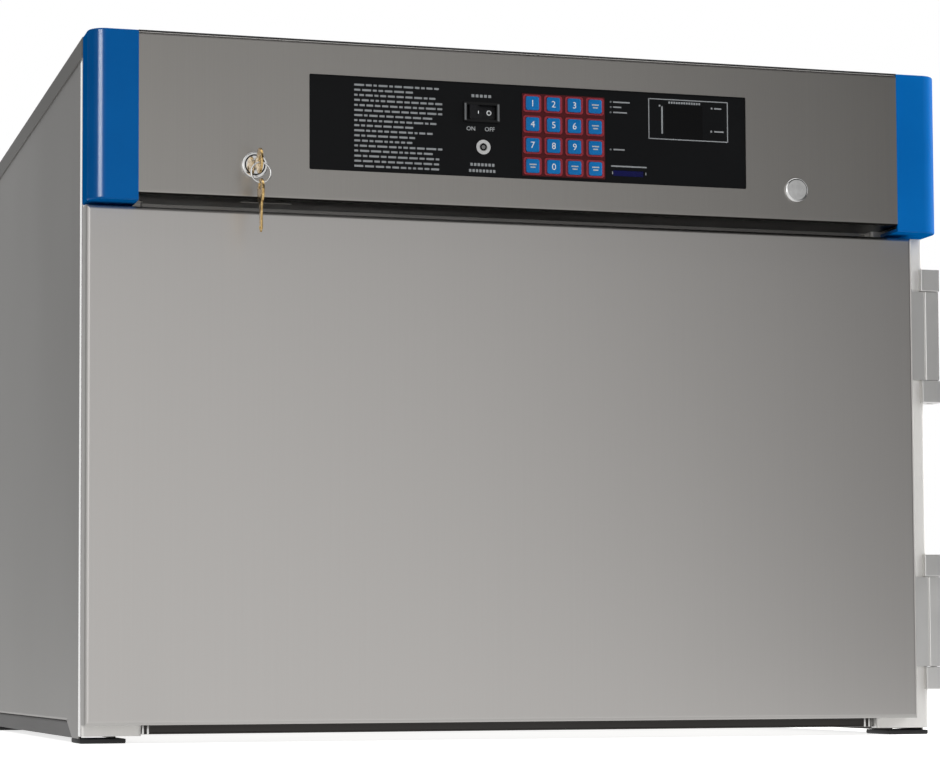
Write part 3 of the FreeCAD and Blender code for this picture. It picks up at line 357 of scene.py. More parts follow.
def mouldedPlastic(
    name, light, dark, roughness, grain, relief, ior=1.53, specular=0.5, deep=None, sheer=None
):
    # moulded plastic, rubber or ink: an even colour, slightly uneven gloss and a fine texture, its
    # grain in millimetres
    material, tree = newMaterial(name)
    spot = addNode(tree, "ShaderNodeTexCoord").outputs["Object"]
    cloud = addNode(
        tree, "ShaderNodeTexNoise", {},
        {"Vector": spot, "Scale": 1 / plasticSkin["cloudWidth"], "Detail": 3.0},
    )
    skin = addNode(
        tree, "ShaderNodeTexNoise", {}, {"Vector": spot, "Scale": 1 / (grain * mm), "Detail": 2.0}
    )
    share = addNode(
        tree, "ShaderNodeMapRange", {}, {"Value": cloud, "From Min": 0.3, "From Max": 0.7}
    )
    colour = addNode(
        tree, "ShaderNodeMix", {"data_type": "RGBA"},
        {"Factor": share, 6: toLinear(dark), 7: toLinear(light)},
    )
    if deep:
        # another colour behind a given depth
        depth = addNode(tree, "ShaderNodeSeparateXYZ", {}, {0: spot}).outputs["Y"]
        part = addNode(
            tree, "ShaderNodeMapRange", {},
            {"Value": depth, "From Min": deep["start"], "From Max": deep["end"]},
        )
        colour = addNode(
            tree, "ShaderNodeMix", {"data_type": "RGBA"},
            {"Factor": part, 6: colour, 7: toLinear(deep["colour"])},
        )
    rough = addNode(
        tree, "ShaderNodeMapRange", {},
        {"Value": share, "To Min": roughness * 0.85, "To Max": roughness * 1.15},
    )
    bump = addNode(
        tree, "ShaderNodeBump", {},
        {"Height": skin, "Strength": relief, "Distance": plasticSkin["grainDepth"]},
    )
    shader = addNode(
        tree, "ShaderNodeBsdfPrincipled", {},
        {"Base Color": colour, "Roughness": rough, "Normal": bump, "IOR": ior,
         "Specular IOR Level": specular},
    )
    if sheer:
        # the gloss fades on faces seen nearly edge on, which keeps their colour deep
        slant = addNode(tree, "ShaderNodeLayerWeight", {}, {"Blend": 0.5}).outputs["Facing"]
        gloss = addNode(
            tree, "ShaderNodeMapRange", {},
            {"Value": slant, "From Min": sheer, "From Max": sheer + plasticSkin["sheerFade"],
             "To Min": specular, "To Max": 0.0},
        )
        tree.links.new(gloss.outputs["Result"], shader.inputs["Specular IOR Level"])
    addNode(tree, "ShaderNodeOutputMaterial", {}, {"Surface": shader})
    return material


# satin stainless steel: pale grey, with long soft reflections
steel = satinSteel("belt_rubbed_stainless_steel", "A9A7A4", "A29F9C", 0.38)
# rubbed every way: an even grey that shows no direction
sideSteel = satinSteel("belt_rubbed_side_steel", "9B9996", "94928F", 0.45, smear=0.0)
coverSteel = satinSteel("belt_rubbed_cover_steel", "7E7C79", "777572", 0.5, smear=0.0)
# the door's bends are left unrubbed and look duller than its face
doorSteel = satinSteel(
    "belt_rubbed_door_steel", "C6C3C0", "BFBCB9", 0.38, smear=0.7,
    edge={"way": (-1, 0, -1), "sides": "MAXIMUM", "start": 0.1, "end": 0.45, "colour": "C2C0BD",
          "roughness": 0.6},
)
# the header's turned-under edge and its bend are painted near black: painted shade under the
# header, which also hides the bend's highlight
headerSteel = satinSteel(
    "belt_rubbed_header_steel_painted_shade", "A9A6A2", "9E9B97", 0.36,
    edge={"way": (0, 0, -1), "sides": "MAXIMUM", "start": 0.25, "end": 0.5, "colour": "121110",
          "roughness": 0.3},
)
# the stiles are painted a nearly white grey and made half diffuse: painted sheen that stands in for
# their bright reflection; their side lips are polished bright
stileSteel = satinSteel(
    "belt_rubbed_stile_steel_painted_sheen", "F2F0ED", "EAE8E5", 0.48, relief=0.0, metallic=0.5,
    edge={"way": (1, 0, 0), "sides": "ABSOLUTE", "start": 0.8, "end": 0.95, "colour": "F2F1EF",
          "roughness": 0.12},
)
# a dull dark grey: painted shade of the rails set back under the door
railSteelPaintedShade = satinSteel("dull_base_rail_steel_painted_shade", "4A4846", "434140", 0.5, smear=0.3)
# as it comes from the mill: a little brighter and smoother than the rubbed sheets
millSteel = satinSteel("mill_finish_stainless", "B9B9B7", "A9A9A7", 0.34, smear=0.3)
# brown-grey and dull from the heat
heaterSteel = brightMetal("heat_darkened_sheath", "6B625A", "4A4541", 0.45, marks=11.1)
# pale and slightly mottled
zincSteel = brightMetal("zinc_plated_steel", "C7C6C1", "A9A9A6", 0.3, marks=2.5)
# bright and smooth, between satin and mirror
wireSteel = brightMetal("electropolished_wire", "D9D9D8", "C2C2C1", 0.16, marks=5.0)
# a clear mirror where it is new, a softened one where it is worn, a dark one on turned steel
chrome = brightMetal("bright_chrome_plate", "DADAD9", "C6C6C5", 0.1, marks=6.67)
lockChrome = brightMetal("worn_chrome_plate", "D4D4D3", "BCBCBB", 0.2, marks=3.33)
plugSteel = brightMetal("dark_turned_plug_steel", "8E8E8D", "7A7A79", 0.3, marks=3.33)
# die-cast and satin plated: pale, with soft highlights along the edges
hingeChrome = brightMetal("satin_chrome_zinc", "E4E3E1", "E0DFDD", 0.42, marks=50.0)
# warm yellow, darker where it is worn
brass = brightMetal("worn_stamped_brass", "D9BC86", "A3834C", 0.24, marks=2.0)
# an even grey with a faint orange peel
motorPaint = mouldedPlastic(
    "grey_stove_enamel", "5E6063", "54565A", 0.45, grain=0.385, relief=0.2
)
# deep in colour, with one sharp streak of light down its curve
blueAbs = mouldedPlastic(
    "blue_gloss_abs", "005FA8", "0059A0", 0.2, grain=0.667, relief=0.01, ior=1.46, specular=0.08,
    sheer=0.6,
)
# a matt black film
blackOverlay = mouldedPlastic(
    "black_polyester_overlay", "0A0B0D", "08090B", 0.42, grain=0.286, relief=0.1, ior=1.4,
    specular=0.2,
)
# a soft blue with a dull shine
blueSilicone = mouldedPlastic(
    "blue_silicone_key", "0870B4", "0564A2", 0.36, grain=0.25, relief=0.1, ior=1.4, specular=0.25
)
# screened inks: flat, with little shine
whiteInk = mouldedPlastic("white_screen_ink", "E0E2E4", "D2D4D6", 0.5, grain=0.2, relief=0.1)
softInk = mouldedPlastic("light_grey_screen_ink", "B4B7B9", "A6A9AB", 0.5, grain=0.2, relief=0.1)
greyInk = mouldedPlastic("grey_screen_ink", "8E9194", "828588", 0.5, grain=0.2, relief=0.1)
# a textured mould leaves nylon finely pitted and dull, a polished one leaves it glossy
blackNylon = mouldedPlastic(
    "black_textured_nylon", "121213", "0D0D0E", 0.5, grain=0.4, relief=0.4, specular=0.2
)
glossNylon = mouldedPlastic(
    "black_moulded_rocker", "1C1C1E", "141416", 0.25, grain=0.4, relief=0.05
)
greyNylon = mouldedPlastic("grey_moulded_nylon", "6C6E70", "5E6062", 0.45, grain=0.4, relief=0.2)
# a green lacquer, slightly wavy over the tracks
boardGreen = mouldedPlastic(
    "green_solder_resist", "1E5B34", "174A2A", 0.35, grain=0.833, relief=0.2
)
# a matt yellow wool
glassFibre = mouldedPlastic(
    "glass_fibre_blanket", "E3D3A0", "C9B67E", 0.95, grain=1.43, relief=1.0
)
# matt and slightly rough rubbers
blackRubber = mouldedPlastic(
    "black_moulded_rubber", "222223", "191919", 0.7, grain=0.556, relief=0.5
)
greySilicone = mouldedPlastic(
    "grey_extruded_silicone", "5B5C5F", "4E4F52", 0.6, grain=0.667, relief=0.3
)
# nearly black, with a faint clear reflection
smokedGlass = mouldedPlastic(
    "smoked_display_window", "030304", "020203", 0.12, grain=3.33, relief=0.01, ior=1.5,
    specular=0.12,
)
# unlit, the lamps look grey and shiny
lampGlass = mouldedPlastic(
    "clear_lamp_lens", "6E7274", "5C6062", 0.1, grain=0.5, relief=0.02, ior=1.49
)
# so deep a blue that it is nearly black
portBlue = mouldedPlastic(
    "deep_blue_port_insert", "04074A", "03053C", 0.3, grain=0.4, relief=0.1, ior=1.45,
    specular=0.2,
)
# the raised borders of the keypad frame are rose red, its lower sheet is a dark maroon
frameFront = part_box("keypad_frame")[0].y
redFrame = mouldedPlastic(
    "rose_red_moulded_frame", "94303B", "862833", 0.42, grain=0.333, relief=0.1, specular=0.2,
    deep={"start": frameFront + 0.1 * mm, "end": frameFront + 0.3 * mm, "colour": "48090F"},
)

nodeFinishes = {
    sideSteel: ["left_side_panel", "right_side_panel"],
    coverSteel: ["top_cover"],
    steel: ["back_panel", "base_pan", "face_plate", "door_inner_pan"],
    headerSteel: ["header_fascia"],
    stileSteel: ["front_stiles"],
    railSteelPaintedShade: ["base_rails"],
    doorSteel: ["door_skin"],
    millSteel: ["chamber_liner", "rear_baffle", "shelf_supports"],
    heaterSteel: ["heater_element"],
    motorPaint: ["fan_motor"],
    zincSteel: ["panel_screws", "fan_impeller", "temperature_sensors", "lock_cam"],
    wireSteel: ["shelf"],
    blueAbs: ["left_corner_trim", "right_corner_trim"],
    blackOverlay: ["control_panel"],
    redFrame: ["keypad_frame"],
    blackNylon: ["switch_housing", "power_rocker", "cord_gland"],
    chrome: ["hole_plug", "key_ring", "lock_barrel"],
    lockChrome: ["lockout_barrel", "lock_plug"],
    plugSteel: ["lockout_plug"],
    hingeChrome: ["hinge_frame_leaves", "hinge_door_leaves", "hinge_pins"],
    brass: ["door_key", "spare_key"],
    boardGreen: ["control_board"],
    glassFibre: ["insulation_blankets", "door_insulation"],
    blackRubber: ["foot_pads"],
    greySilicone: ["door_gasket"],
}
for material, names in nodeFinishes.items():
    for name in names:
        paint(nodes[name], material)
keyNodes = [name for name in nodes if name.startswith("key_") and name != "key_ring"]
for name in keyNodes:
    paint(nodes[name], blueSilicone)
print("materials assigned")

inkPrint = {
    "thickness": 0.05 * mm,
    "corner": 0.3 * mm, "cornerShare": 0.45,    # a corner takes at most this share of a small bar
    "sizeForHeight": 1.38,      # the font's capitals are this much lower than its size
    "curveSteps": 3,
}


def printedText(text, height, middle, name, material):
    pickNothing()
    bpy.ops.object.text_add(location=(0, 0, 0), rotation=(math.pi / 2, 0, 0))
    words = bpy.context.object
    words.data.body = text
    words.data.size = height * inkPrint["sizeForHeight"]
    words.data.extrude = inkPrint["thickness"] / 2
    words.data.resolution_u = inkPrint["curveSteps"]
    bpy.ops.object.convert(target="MESH")
    made = bpy.context.object
    made.name = name
    settle(made)
    corners = [vert.co for vert in made.data.vertices]
    low = Vector([min(corner[i] for corner in corners) for i in range(3)])
    high = Vector([max(corner[i] for corner in corners) for i in range(3)])
    bpy.ops.transform.translate(value=Vector(middle) - (low + high) / 2)
    settle(made)
    paint(made, material)
    return made


def printedBar(name, x, z, width, height, front, material, corner=inkPrint["corner"]):
    # a flat patch of ink with rounded corners
    depth, share = inkPrint["thickness"], inkPrint["cornerShare"]
    low = (x - width / 2, front - depth, z - height / 2)
    high = (x + width / 2, front, z + height / 2)
    piece = addBox(name, low, high)
    pickParts(piece, "EDGE", runningBack(depth / 2))
    bpy.ops.mesh.bevel(offset=min(corner, height * share, width * share), segments=2)
    paint(piece, material)
    return piece


keyCap = {
    "faceWidth": 11.8 * mm,
    "corner": 2.9 * mm,
    "flangeThickness": 1.0 * mm,
    "stemLength": 1.8 * mm,
    "stemInset": 4.6 * mm,
    "domeRise": 0.4 * mm,
    "domeSteps": [(0.965, 0.35), (0.93, 0.25), (0.82, 0.25), (0.7, 0.15)],
    "figureHeight": 5.8 * mm,
    "barHeight": 1.1 * mm, "barGap": 2.4 * mm, "upperBar": 6.4 * mm, "lowerBar": 4.6 * mm,
}


def keyShape(node):
    # from the hidden flange forwards to the domed face, and back to the stem
    low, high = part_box(node)
    middle = (low + high) / 2
    stemFront = high.y - keyCap["stemLength"]
    flangeFront = stemFront - keyCap["flangeThickness"]
    piece = addBox(node + "_key", (low.x, flangeFront, low.z), (high.x, stemFront, high.z))
    pickParts(piece, "EDGE", runningBack(keyCap["flangeThickness"] / 2))
    bpy.ops.mesh.bevel(offset=keyCap["corner"], segments=4)
    pickParts(piece, "FACE", facing((0, -1, 0)))
    bpy.ops.mesh.inset(thickness=(high.x - low.x - keyCap["faceWidth"]) / 2)
    extrudeBy(0, low.y + keyCap["domeRise"] - flangeFront, 0)
    extrudeDome(keyCap["domeRise"], keyCap["domeSteps"], middle)
    pickParts(piece, "FACE", facing((0, 1, 0)))
    bpy.ops.mesh.inset(thickness=keyCap["stemInset"])
    extrudeBy(0, keyCap["stemLength"], 0)
    paint(piece, blueSilicone)
    smoothFaces(piece, degrees=50)
    return piece


masterKey = keyShape("key_1")
masterMiddle = sum(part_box("key_1"), Vector()) / 2
for node in keyNodes:
    low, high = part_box(node)
    middle = (low + high) / 2
    cap = copyOf(masterKey, node + "_key", middle - masterMiddle)
    figure = node.split("_")[1]
    if figure.isdigit():
        face = (middle.x, low.y, middle.z)
        ink = [printedText(figure, keyCap["figureHeight"], face, node + "_figure", whiteInk)]
    else:
        # two short bars stand for the name of a function key
        rows = [("upper", 1, keyCap["upperBar"]), ("lower", -1, keyCap["lowerBar"])]
        ink = []
        for name, side, width in rows:
            z = middle.z + side * keyCap["barGap"] / 2
            ink.append(printedBar(name, middle.x, z, width, keyCap["barHeight"], low.y, softInk))
    cap = joinPieces([cap] + ink, node + "_cap")
    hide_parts(node)
    finishPiece(cap, nodes[node]["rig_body"])
pickOnly(masterKey)
bpy.ops.object.delete()
print("keys made")

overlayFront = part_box("control_panel")[0].y
overlayPrint = {
    "wordHeight": 3.7 * mm,
    "words": [("ON", -54.7, 520.6), ("OFF", -37.9, 520.6)],
    # lines of small bars, in the cabinet's millimetres; each ends early by one of the stops
    "lineLeft": -157.0, "lineRight": -80.0, "lineTop": 553.0, "lineStep": 4.32, "lineCount": 17,
    "lineHeight": 1.7, "shortest": 2.6, "longest": 9.0, "gap": 1.5, "stops": (0, 0, 3, 6, 24),
    # rows of blocks that stand where a word was: left, right, middle height, block height, blocks
    "blocks": [
        (-54.6, -36.0, 548.9, 2.5, 5), (-55.8, -33.4, 489.7, 2.5, 7), (-57.0, -32.6, 484.4, 2.5, 8),
        (124.2, 154.4, 552.2, 1.8, 13),
    ],
    "blockShare": 0.68,     # of the pitch, the rest is gap
    "lamps": [(71.4, 550.1), (71.4, 545.5), (71.3, 540.9), (71.0, 508.4)],
    # thin bars beside the lamps, the port and the display: middle x, middle z, width, height
    "bars": [
        (81.3, 550.0, 15.4, 1.2), (77.4, 545.6, 7.5, 1.2), (80.0, 541.0, 12.7, 1.2),
        (78.8, 508.5, 10.3, 1.2), (87.7, 494.0, 32.7, 1.2), (72.7, 488.0, 0.9, 2.4),
        (103.2, 488.4, 0.9, 2.4), (116.4, 549.1, 1.6, 1.6), (118.6, 536.5, 1.4, 24.0),
        (164.7, 548.9, 1.6, 1.6), (170.4, 548.9, 6.7, 1.2), (164.2, 528.5, 1.6, 1.6),
        (171.3, 528.5, 8.8, 1.2),
    ],
}


def printBars(name, bars, material):
    made = []
    for x, z, width, height in bars:
        spot = place(x, 0, z)
        made.append(
            printedBar("bar", spot.x, spot.z, width * mm, height * mm, overlayFront, material)
        )
    made = joinPieces(made, name)
    finishPiece(made, "cabinet")


words = []
for text, x, z in overlayPrint["words"]:
    spot = place(x, 0, z)
    front = (spot.x, overlayFront - inkPrint["thickness"] / 2, spot.z)
    words.append(printedText(text, overlayPrint["wordHeight"], front, text, softInk))
words = joinPieces(words, "switch_words")
finishPiece(words, "cabinet")

random.seed(7)
lines = []
for row in range(overlayPrint["lineCount"]):
    z = overlayPrint["lineTop"] - row * overlayPrint["lineStep"]
    x = overlayPrint["lineLeft"]
    end = overlayPrint["lineRight"] - random.choice(overlayPrint["stops"])
    while x < end - overlayPrint["gap"]:
        width = min(random.uniform(overlayPrint["shortest"], overlayPrint["longest"]), end - x)
        lines.append((x + width / 2, z, width, overlayPrint["lineHeight"]))
        x += width + overlayPrint["gap"]
printBars("printed_lines", lines, greyInk)

blocks = []
for left, right, z, height, count in overlayPrint["blocks"]:
    pitch = (right - left) / count
    for k in range(count):
        blocks.append((left + pitch * (k + 0.5), z, pitch * overlayPrint["blockShare"], height))
printBars("word_blocks", blocks, greyInk)
printBars("label_bars", overlayPrint["bars"], greyInk)

# status lamps: small clear domes in the overlay
lampShape = {
    "radius": 0.9 * mm, "thickness": 0.1 * mm, "sides": 20,
    "rise": 0.35 * mm, "domeSteps": [(0.9, 0.4), (0.75, 0.35), (0.5, 0.25)],
}
lamps = []
for x, z in overlayPrint["lamps"]:
    spot = place(x, 0, z)
    spot.y = overlayFront
    lens = addRod("lens", spot, lampShape["radius"], lampShape["thickness"], lampShape["sides"])
    pickParts(lens, "FACE", facing((0, -1, 0)))
    extrudeDome(lampShape["rise"], lampShape["domeSteps"], spot)
    lamps.append(lens)
lamps = joinPieces(lamps, "status_lamps")
paint(lamps, lampGlass)
smoothFaces(lamps, degrees=60)
finishPiece(lamps, "cabinet")

# display: a smoked window inside a printed border, each left, right, bottom, top
display = {
    "window": (121.4, 156.2, 520.7, 550.3), "windowCorner": 0.8 * mm,
    "border": (106.0, 179.8, 519.4, 555.2), "borderCorner": 0.3 * mm, "borderWidth": 0.8 * mm,
}


def overlayPatch(name, edges, material, corner):
    low, high = place(edges[0], 0, edges[2]), place(edges[1], 0, edges[3])
    middle, size = (low + high) / 2, high - low
    return printedBar(name, middle.x, middle.z, size.x, size.z, overlayFront, material, corner)


window = overlayPatch("display_window", display["window"], smokedGlass, display["windowCorner"])
finishPiece(window, "cabinet")
border = overlayPatch("display_border", display["border"], greyInk, display["borderCorner"])
openUp(border, display["borderWidth"])
finishPiece(border, "cabinet")
print("overlay print made")

# data port: a deep blue insert with a slot, set back in the overlay's opening
dataPort = {
    "x": 87.3, "z": 488.0, "width": 27.8 * mm, "height": 5.0 * mm, "recess": 0.5 * mm,
    "depth": 0.25 * mm, "slotHeight": 1.6 * mm, "slotDepth": 0.15 * mm, "edge": 0.08 * mm,
}
spot = place(dataPort["x"], 0, dataPort["z"])
half = Vector((dataPort["width"] / 2, 0, dataPort["height"] / 2))
spot.y = overlayFront + dataPort["recess"]
port = addBox("data_port", spot - half, spot + half + Vector((0, dataPort["depth"], 0)))
pickParts(port, "FACE", facing((0, -1, 0)))
bpy.ops.mesh.inset(thickness=(dataPort["height"] - dataPort["slotHeight"]) / 2)
extrudeBy(0, dataPort["slotDepth"], 0)
bevelEdges(port, dataPort["edge"], segments=1)
paint(port, portBlue)
finishPiece(port, "cabinet")
print("data port made")

rockerSwitch = {
    "edge": 0.5 * mm, "slopeFacing": 0.9,
    "lineX": -48.2, "ringX": -38.4,     # where the two marks lie, in the cabinet's millimetres
    "lineWidth": 0.8 * mm, "lineHeight": 2.6 * mm, "lineCorner": 0.32 * mm,
    "ringOuter": 2.2 * mm, "ringWidth": 0.8 * mm, "ringSides": 28,
    "inkThickness": 0.06 * mm, "inkRise": 0.02 * mm,
    "stripWidth": 1.7 * mm, "stripHeight": 14.5 * mm, "stripRise": 0.25 * mm,
    "stripEdge": 0.2 * mm, "stripInset": 1.36 * mm,
}
rocker = copyNode("power_rocker", "rocker_button")
bevelEdges(rocker, rockerSwitch["edge"], segments=3)
smoothFaces(rocker)
paint(rocker, glossNylon)
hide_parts("power_rocker")
finishPiece(rocker, "power_rocker")
# the two largest faces that look forward are the slopes of the dished face
slopes = [face for face in rocker.data.polygons if -face.normal.y > rockerSwitch["slopeFacing"]]
slopes = sorted(slopes, key=lambda face: face.area)[-2:]
slopes.sort(key=lambda face: face.center.x)


def layOn(piece, face, x):
    # turns a mark that faces the front onto a slope of the rocker, at a given x
    turn = Vector((0, -1, 0)).rotation_difference(face.normal).to_matrix().to_4x4()
    shift = place(x, 0, 0).x - face.center.x
    spot = face.center + Vector((shift, -shift * face.normal.x / face.normal.y, 0))
    piece.matrix_world = Matrix.Translation(spot + face.normal * rockerSwitch["inkRise"]) @ turn
    settle(piece)


thick = rockerSwitch["inkThickness"]
lineHalf = Vector((rockerSwitch["lineWidth"] / 2, thick / 2, rockerSwitch["lineHeight"] / 2))
lineMark = addBox("line_mark", -lineHalf, lineHalf)
pickParts(lineMark, "EDGE", runningBack(thick / 2))
bpy.ops.mesh.bevel(offset=rockerSwitch["lineCorner"], segments=2)
layOn(lineMark, slopes[0], rockerSwitch["lineX"])
ringMark = addRod(
    "ring_mark", (0, 0, 0), rockerSwitch["ringOuter"], thick, rockerSwitch["ringSides"]
)
openUp(ringMark, rockerSwitch["ringWidth"])
layOn(ringMark, slopes[1], rockerSwitch["ringX"])
marks = joinPieces([lineMark, ringMark], "rocker_marks")
paint(marks, whiteInk)
finishPiece(marks, "power_rocker")

# grey end strips of the housing's rim
low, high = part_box("switch_housing")
half = Vector(
    (rockerSwitch["stripWidth"], rockerSwitch["stripRise"], rockerSwitch["stripHeight"])
) / 2
strips = []
for x in (low.x + rockerSwitch["stripInset"], high.x - rockerSwitch["stripInset"]):
    spot = Vector((x, low.y - half.y, (low.z + high.z) / 2))
    strips.append(addBox("strip", spot - half, spot + half))
strips = joinPieces(strips, "switch_end_strips")
bevelEdges(strips, rockerSwitch["stripEdge"], segments=2)
paint(strips, greyNylon)
finishPiece(strips, "cabinet")
print("rocker made")

# a black bead along the top of the header, between the corner trims: painted shadow under the top
# cover's front edge, made as a black rubber bead
topShadowBead = {
    "halfLength": 340.2, "height": 1.5, "front": 0.35, "back": 1.0, "top": 588.95,
    "edge": 0.3 * mm,
}
low = place(-topShadowBead["halfLength"], -topShadowBead["front"], topShadowBead["top"] - topShadowBead["height"])
high = place(topShadowBead["halfLength"], topShadowBead["back"], topShadowBead["top"])
shadowBead = addBox("top_shadow_bead", low, high)
bevelEdges(shadowBead, topShadowBead["edge"], segments=3)
paint(shadowBead, blackRubber)
smoothFaces(shadowBead)
finishPiece(shadowBead, "cabinet")
print("top seam made")

# a dull dark strip closes the gap under the door, its darkness painted shade, with two bright ribs
# at each end of it
kickStrip = {
    "halfLength": 329.5, "low": 7.2, "high": 15.0, "front": 48.6, "back": 49.5,
    "foldWidth": 1.2 * mm, "foldDepth": 0.4 * mm, "foldEdge": 0.2 * mm,
    "ribWidth": 2.0, "ribStep": 4.2, "ribFront": 47.6, "ribEdge": 0.6 * mm,
}
low = place(-kickStrip["halfLength"], kickStrip["front"], kickStrip["low"])
high = place(kickStrip["halfLength"], kickStrip["back"], kickStrip["high"])
strip = addBox("kick_strip", low, high)
pickParts(strip, "FACE", facing((0, -1, 0)))
bpy.ops.mesh.inset(thickness=kickStrip["foldWidth"])
extrudeBy(0, kickStrip["foldDepth"], 0)
bevelEdges(strip, kickStrip["foldEdge"], segments=2)
# the dark rail steel here is painted shade under the door
paint(strip, railSteelPaintedShade)
finishPiece(strip, "cabinet")
ribs = []
for side in (-1, 1):
    for k in (0, 1):
        x = side * (kickStrip["halfLength"] - kickStrip["ribWidth"] - k * kickStrip["ribStep"])
        low = place(x - kickStrip["ribWidth"] / 2, kickStrip["ribFront"], kickStrip["low"])
        high = place(x + kickStrip["ribWidth"] / 2, kickStrip["front"], kickStrip["high"])
        rib = addBox("rib", low, high)
        bevelEdges(rib, kickStrip["ribEdge"], segments=3)
        ribs.append(rib)
ribs = joinPieces(ribs, "kick_strip_ribs")
paint(ribs, hingeChrome)
smoothFaces(ribs)
finishPiece(ribs, "cabinet")
print("kick strip made")

# the gasket: an extruded frame with two soft lips and a groove between them
gasketShape = {
    "width": 12.0 * mm, "outerCorner": 18.0 * mm, "lip": 3.4 * mm, "groove": 2.2 * mm,
    "edge": 1.1 * mm,
}
low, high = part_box("door_gasket")
gasket = addBox("gasket_profile", low, high)
pickParts(gasket, "EDGE", runningBack((high.y - low.y) / 2))
bpy.ops.mesh.bevel(offset=gasketShape["outerCorner"], segments=8)
openUp(gasket, gasketShape["width"])
pickParts(gasket, "FACE", facing((0, 1, 0)))
bpy.ops.mesh.inset(thickness=gasketShape["lip"])
extrudeBy(0, -gasketShape["groove"], 0)
bevelEdges(gasket, gasketShape["edge"], segments=3, sharperThan=50)
paint(gasket, greySilicone)
smoothFaces(gasket)
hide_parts("door_gasket")
finishPiece(gasket, "door")
print("gasket made")

# black rings: outer and inner radius of each ring, where it lies and how thick it is; the lockout's
# is a seal round its plug, the lock's is painted dark reflection and painted shade in its chrome
# rim's groove
sealsAndShadeRings = {
    # painted dark reflection and painted shade: a black ring in the groove of the lock's chrome rim
    "lock_seal": {
        "x": -243.0, "z": 480.0, "outer": 8.78, "inner": 7.62, "front": -1.9, "back": -1.5,
        "body": "cabinet",
    },
    "lockout_seal": {
        "x": -44.2, "z": 504.6, "outer": 2.86, "inner": 1.74, "front": 1.2, "back": 2.2,
        "body": "lockout_plug",
    },
}
ringFinish = {"sides": 48, "edge": 0.1 * mm}
for name, ring in sealsAndShadeRings.items():
    centre = place(ring["x"], (ring["front"] + ring["back"]) / 2, ring["z"])
    thick = (ring["back"] - ring["front"]) * mm
    sealOrShadeRing = addRod(name, centre, ring["outer"] * mm, thick, ringFinish["sides"])
    openUp(sealOrShadeRing, (ring["outer"] - ring["inner"]) * mm)
    bevelEdges(sealOrShadeRing, ringFinish["edge"], segments=2, sharperThan=50)
    paint(sealOrShadeRing, blackRubber)
    smoothFaces(sealOrShadeRing)
    finishPiece(sealOrShadeRing, ring["body"])
print("seals made")

# moulded and stamped pieces get the rounded edges that their making leaves
roundedNodes = {
    "foot_pads": {"edge": 0.5 * mm, "material": blackRubber, "slot": "black_rubber"},
    "door_key": {"edge": 0.25 * mm, "material": brass, "slot": "brass"},
    "spare_key": {"edge": 0.25 * mm, "material": brass, "slot": "brass"},
}
for node, shape in roundedNodes.items():
    piece = copyNode(node, node + "_rounded")
    bevelEdges(piece, shape["edge"], segments=2, sharperThan=34)
    paint(piece, shape["material"])
    smoothFaces(piece, degrees=35)
    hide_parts(node)
    finishPiece(piece, nodes[node]["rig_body"])
print("rounded pieces made")

studio = {
    "floorSize": 40.0, "floorColour": "EDEDEB", "floorLift": 0.75, "floorShine": 1.0,
    "ambient": 0.5,
}
white = (1, 1, 1, 1)


def seenRays(tree, path):
    # the rays that are shown the plain white: the camera's, also by way of gloss and glass
    seen = addNode(
        tree, "ShaderNodeMath", {"operation": "MAXIMUM"},
        {0: path["Is Camera Ray"], 1: path["Is Glossy Ray"]},
    )
    return addNode(
        tree, "ShaderNodeMath", {"operation": "MAXIMUM"}, {0: seen, 1: path["Is Transmission Ray"]}
    )


pickNothing()
bpy.ops.mesh.primitive_plane_add(size=studio["floorSize"], location=(0, 0, 0))
floor = bpy.context.object
floor.name = "studio_floor"
floorPaint, tree = newMaterial("pale_studio_floor")
# seen directly or through glass the floor is lifted to the background's white and keeps the
# shadow; metal and gloss see it as plain white, however bright the lamps make it
path = addNode(tree, "ShaderNodeLightPath").outputs
seen = seenRays(tree, path)
matt = addNode(tree, "ShaderNodeBsdfDiffuse", {}, {"Color": toLinear(studio["floorColour"])})
lift = addNode(tree, "ShaderNodeEmission", {}, {"Color": white, "Strength": studio["floorLift"]})
both = addNode(tree, "ShaderNodeAddShader", {}, {0: matt, 1: lift})
choice = addNode(tree, "ShaderNodeMixShader", {}, {0: seen, 1: matt, 2: both})
plain = addNode(tree, "ShaderNodeEmission", {}, {"Color": white, "Strength": studio["floorShine"]})
choice = addNode(tree, "ShaderNodeMixShader", {}, {0: path["Is Glossy Ray"], 1: choice, 2: plain})
addNode(tree, "ShaderNodeOutputMaterial", {}, {"Surface": choice})
paint(floor, floorPaint)

world = bpy.data.worlds.new("white_studio")
bpy.context.scene.world = world
world.use_nodes = True
tree = world.node_tree
tree.nodes.clear()
path = addNode(tree, "ShaderNodeLightPath").outputs
seen = seenRays(tree, path)
soft = addNode(tree, "ShaderNodeBackground", {}, {"Color": white, "Strength": studio["ambient"]})
plain = addNode(tree, "ShaderNodeBackground", {}, {"Color": white, "Strength": 1.0})
choice = addNode(tree, "ShaderNodeMixShader", {}, {0: seen, 1: soft, 2: plain})
addNode(tree, "ShaderNodeOutputWorld", {}, {"Surface": choice})

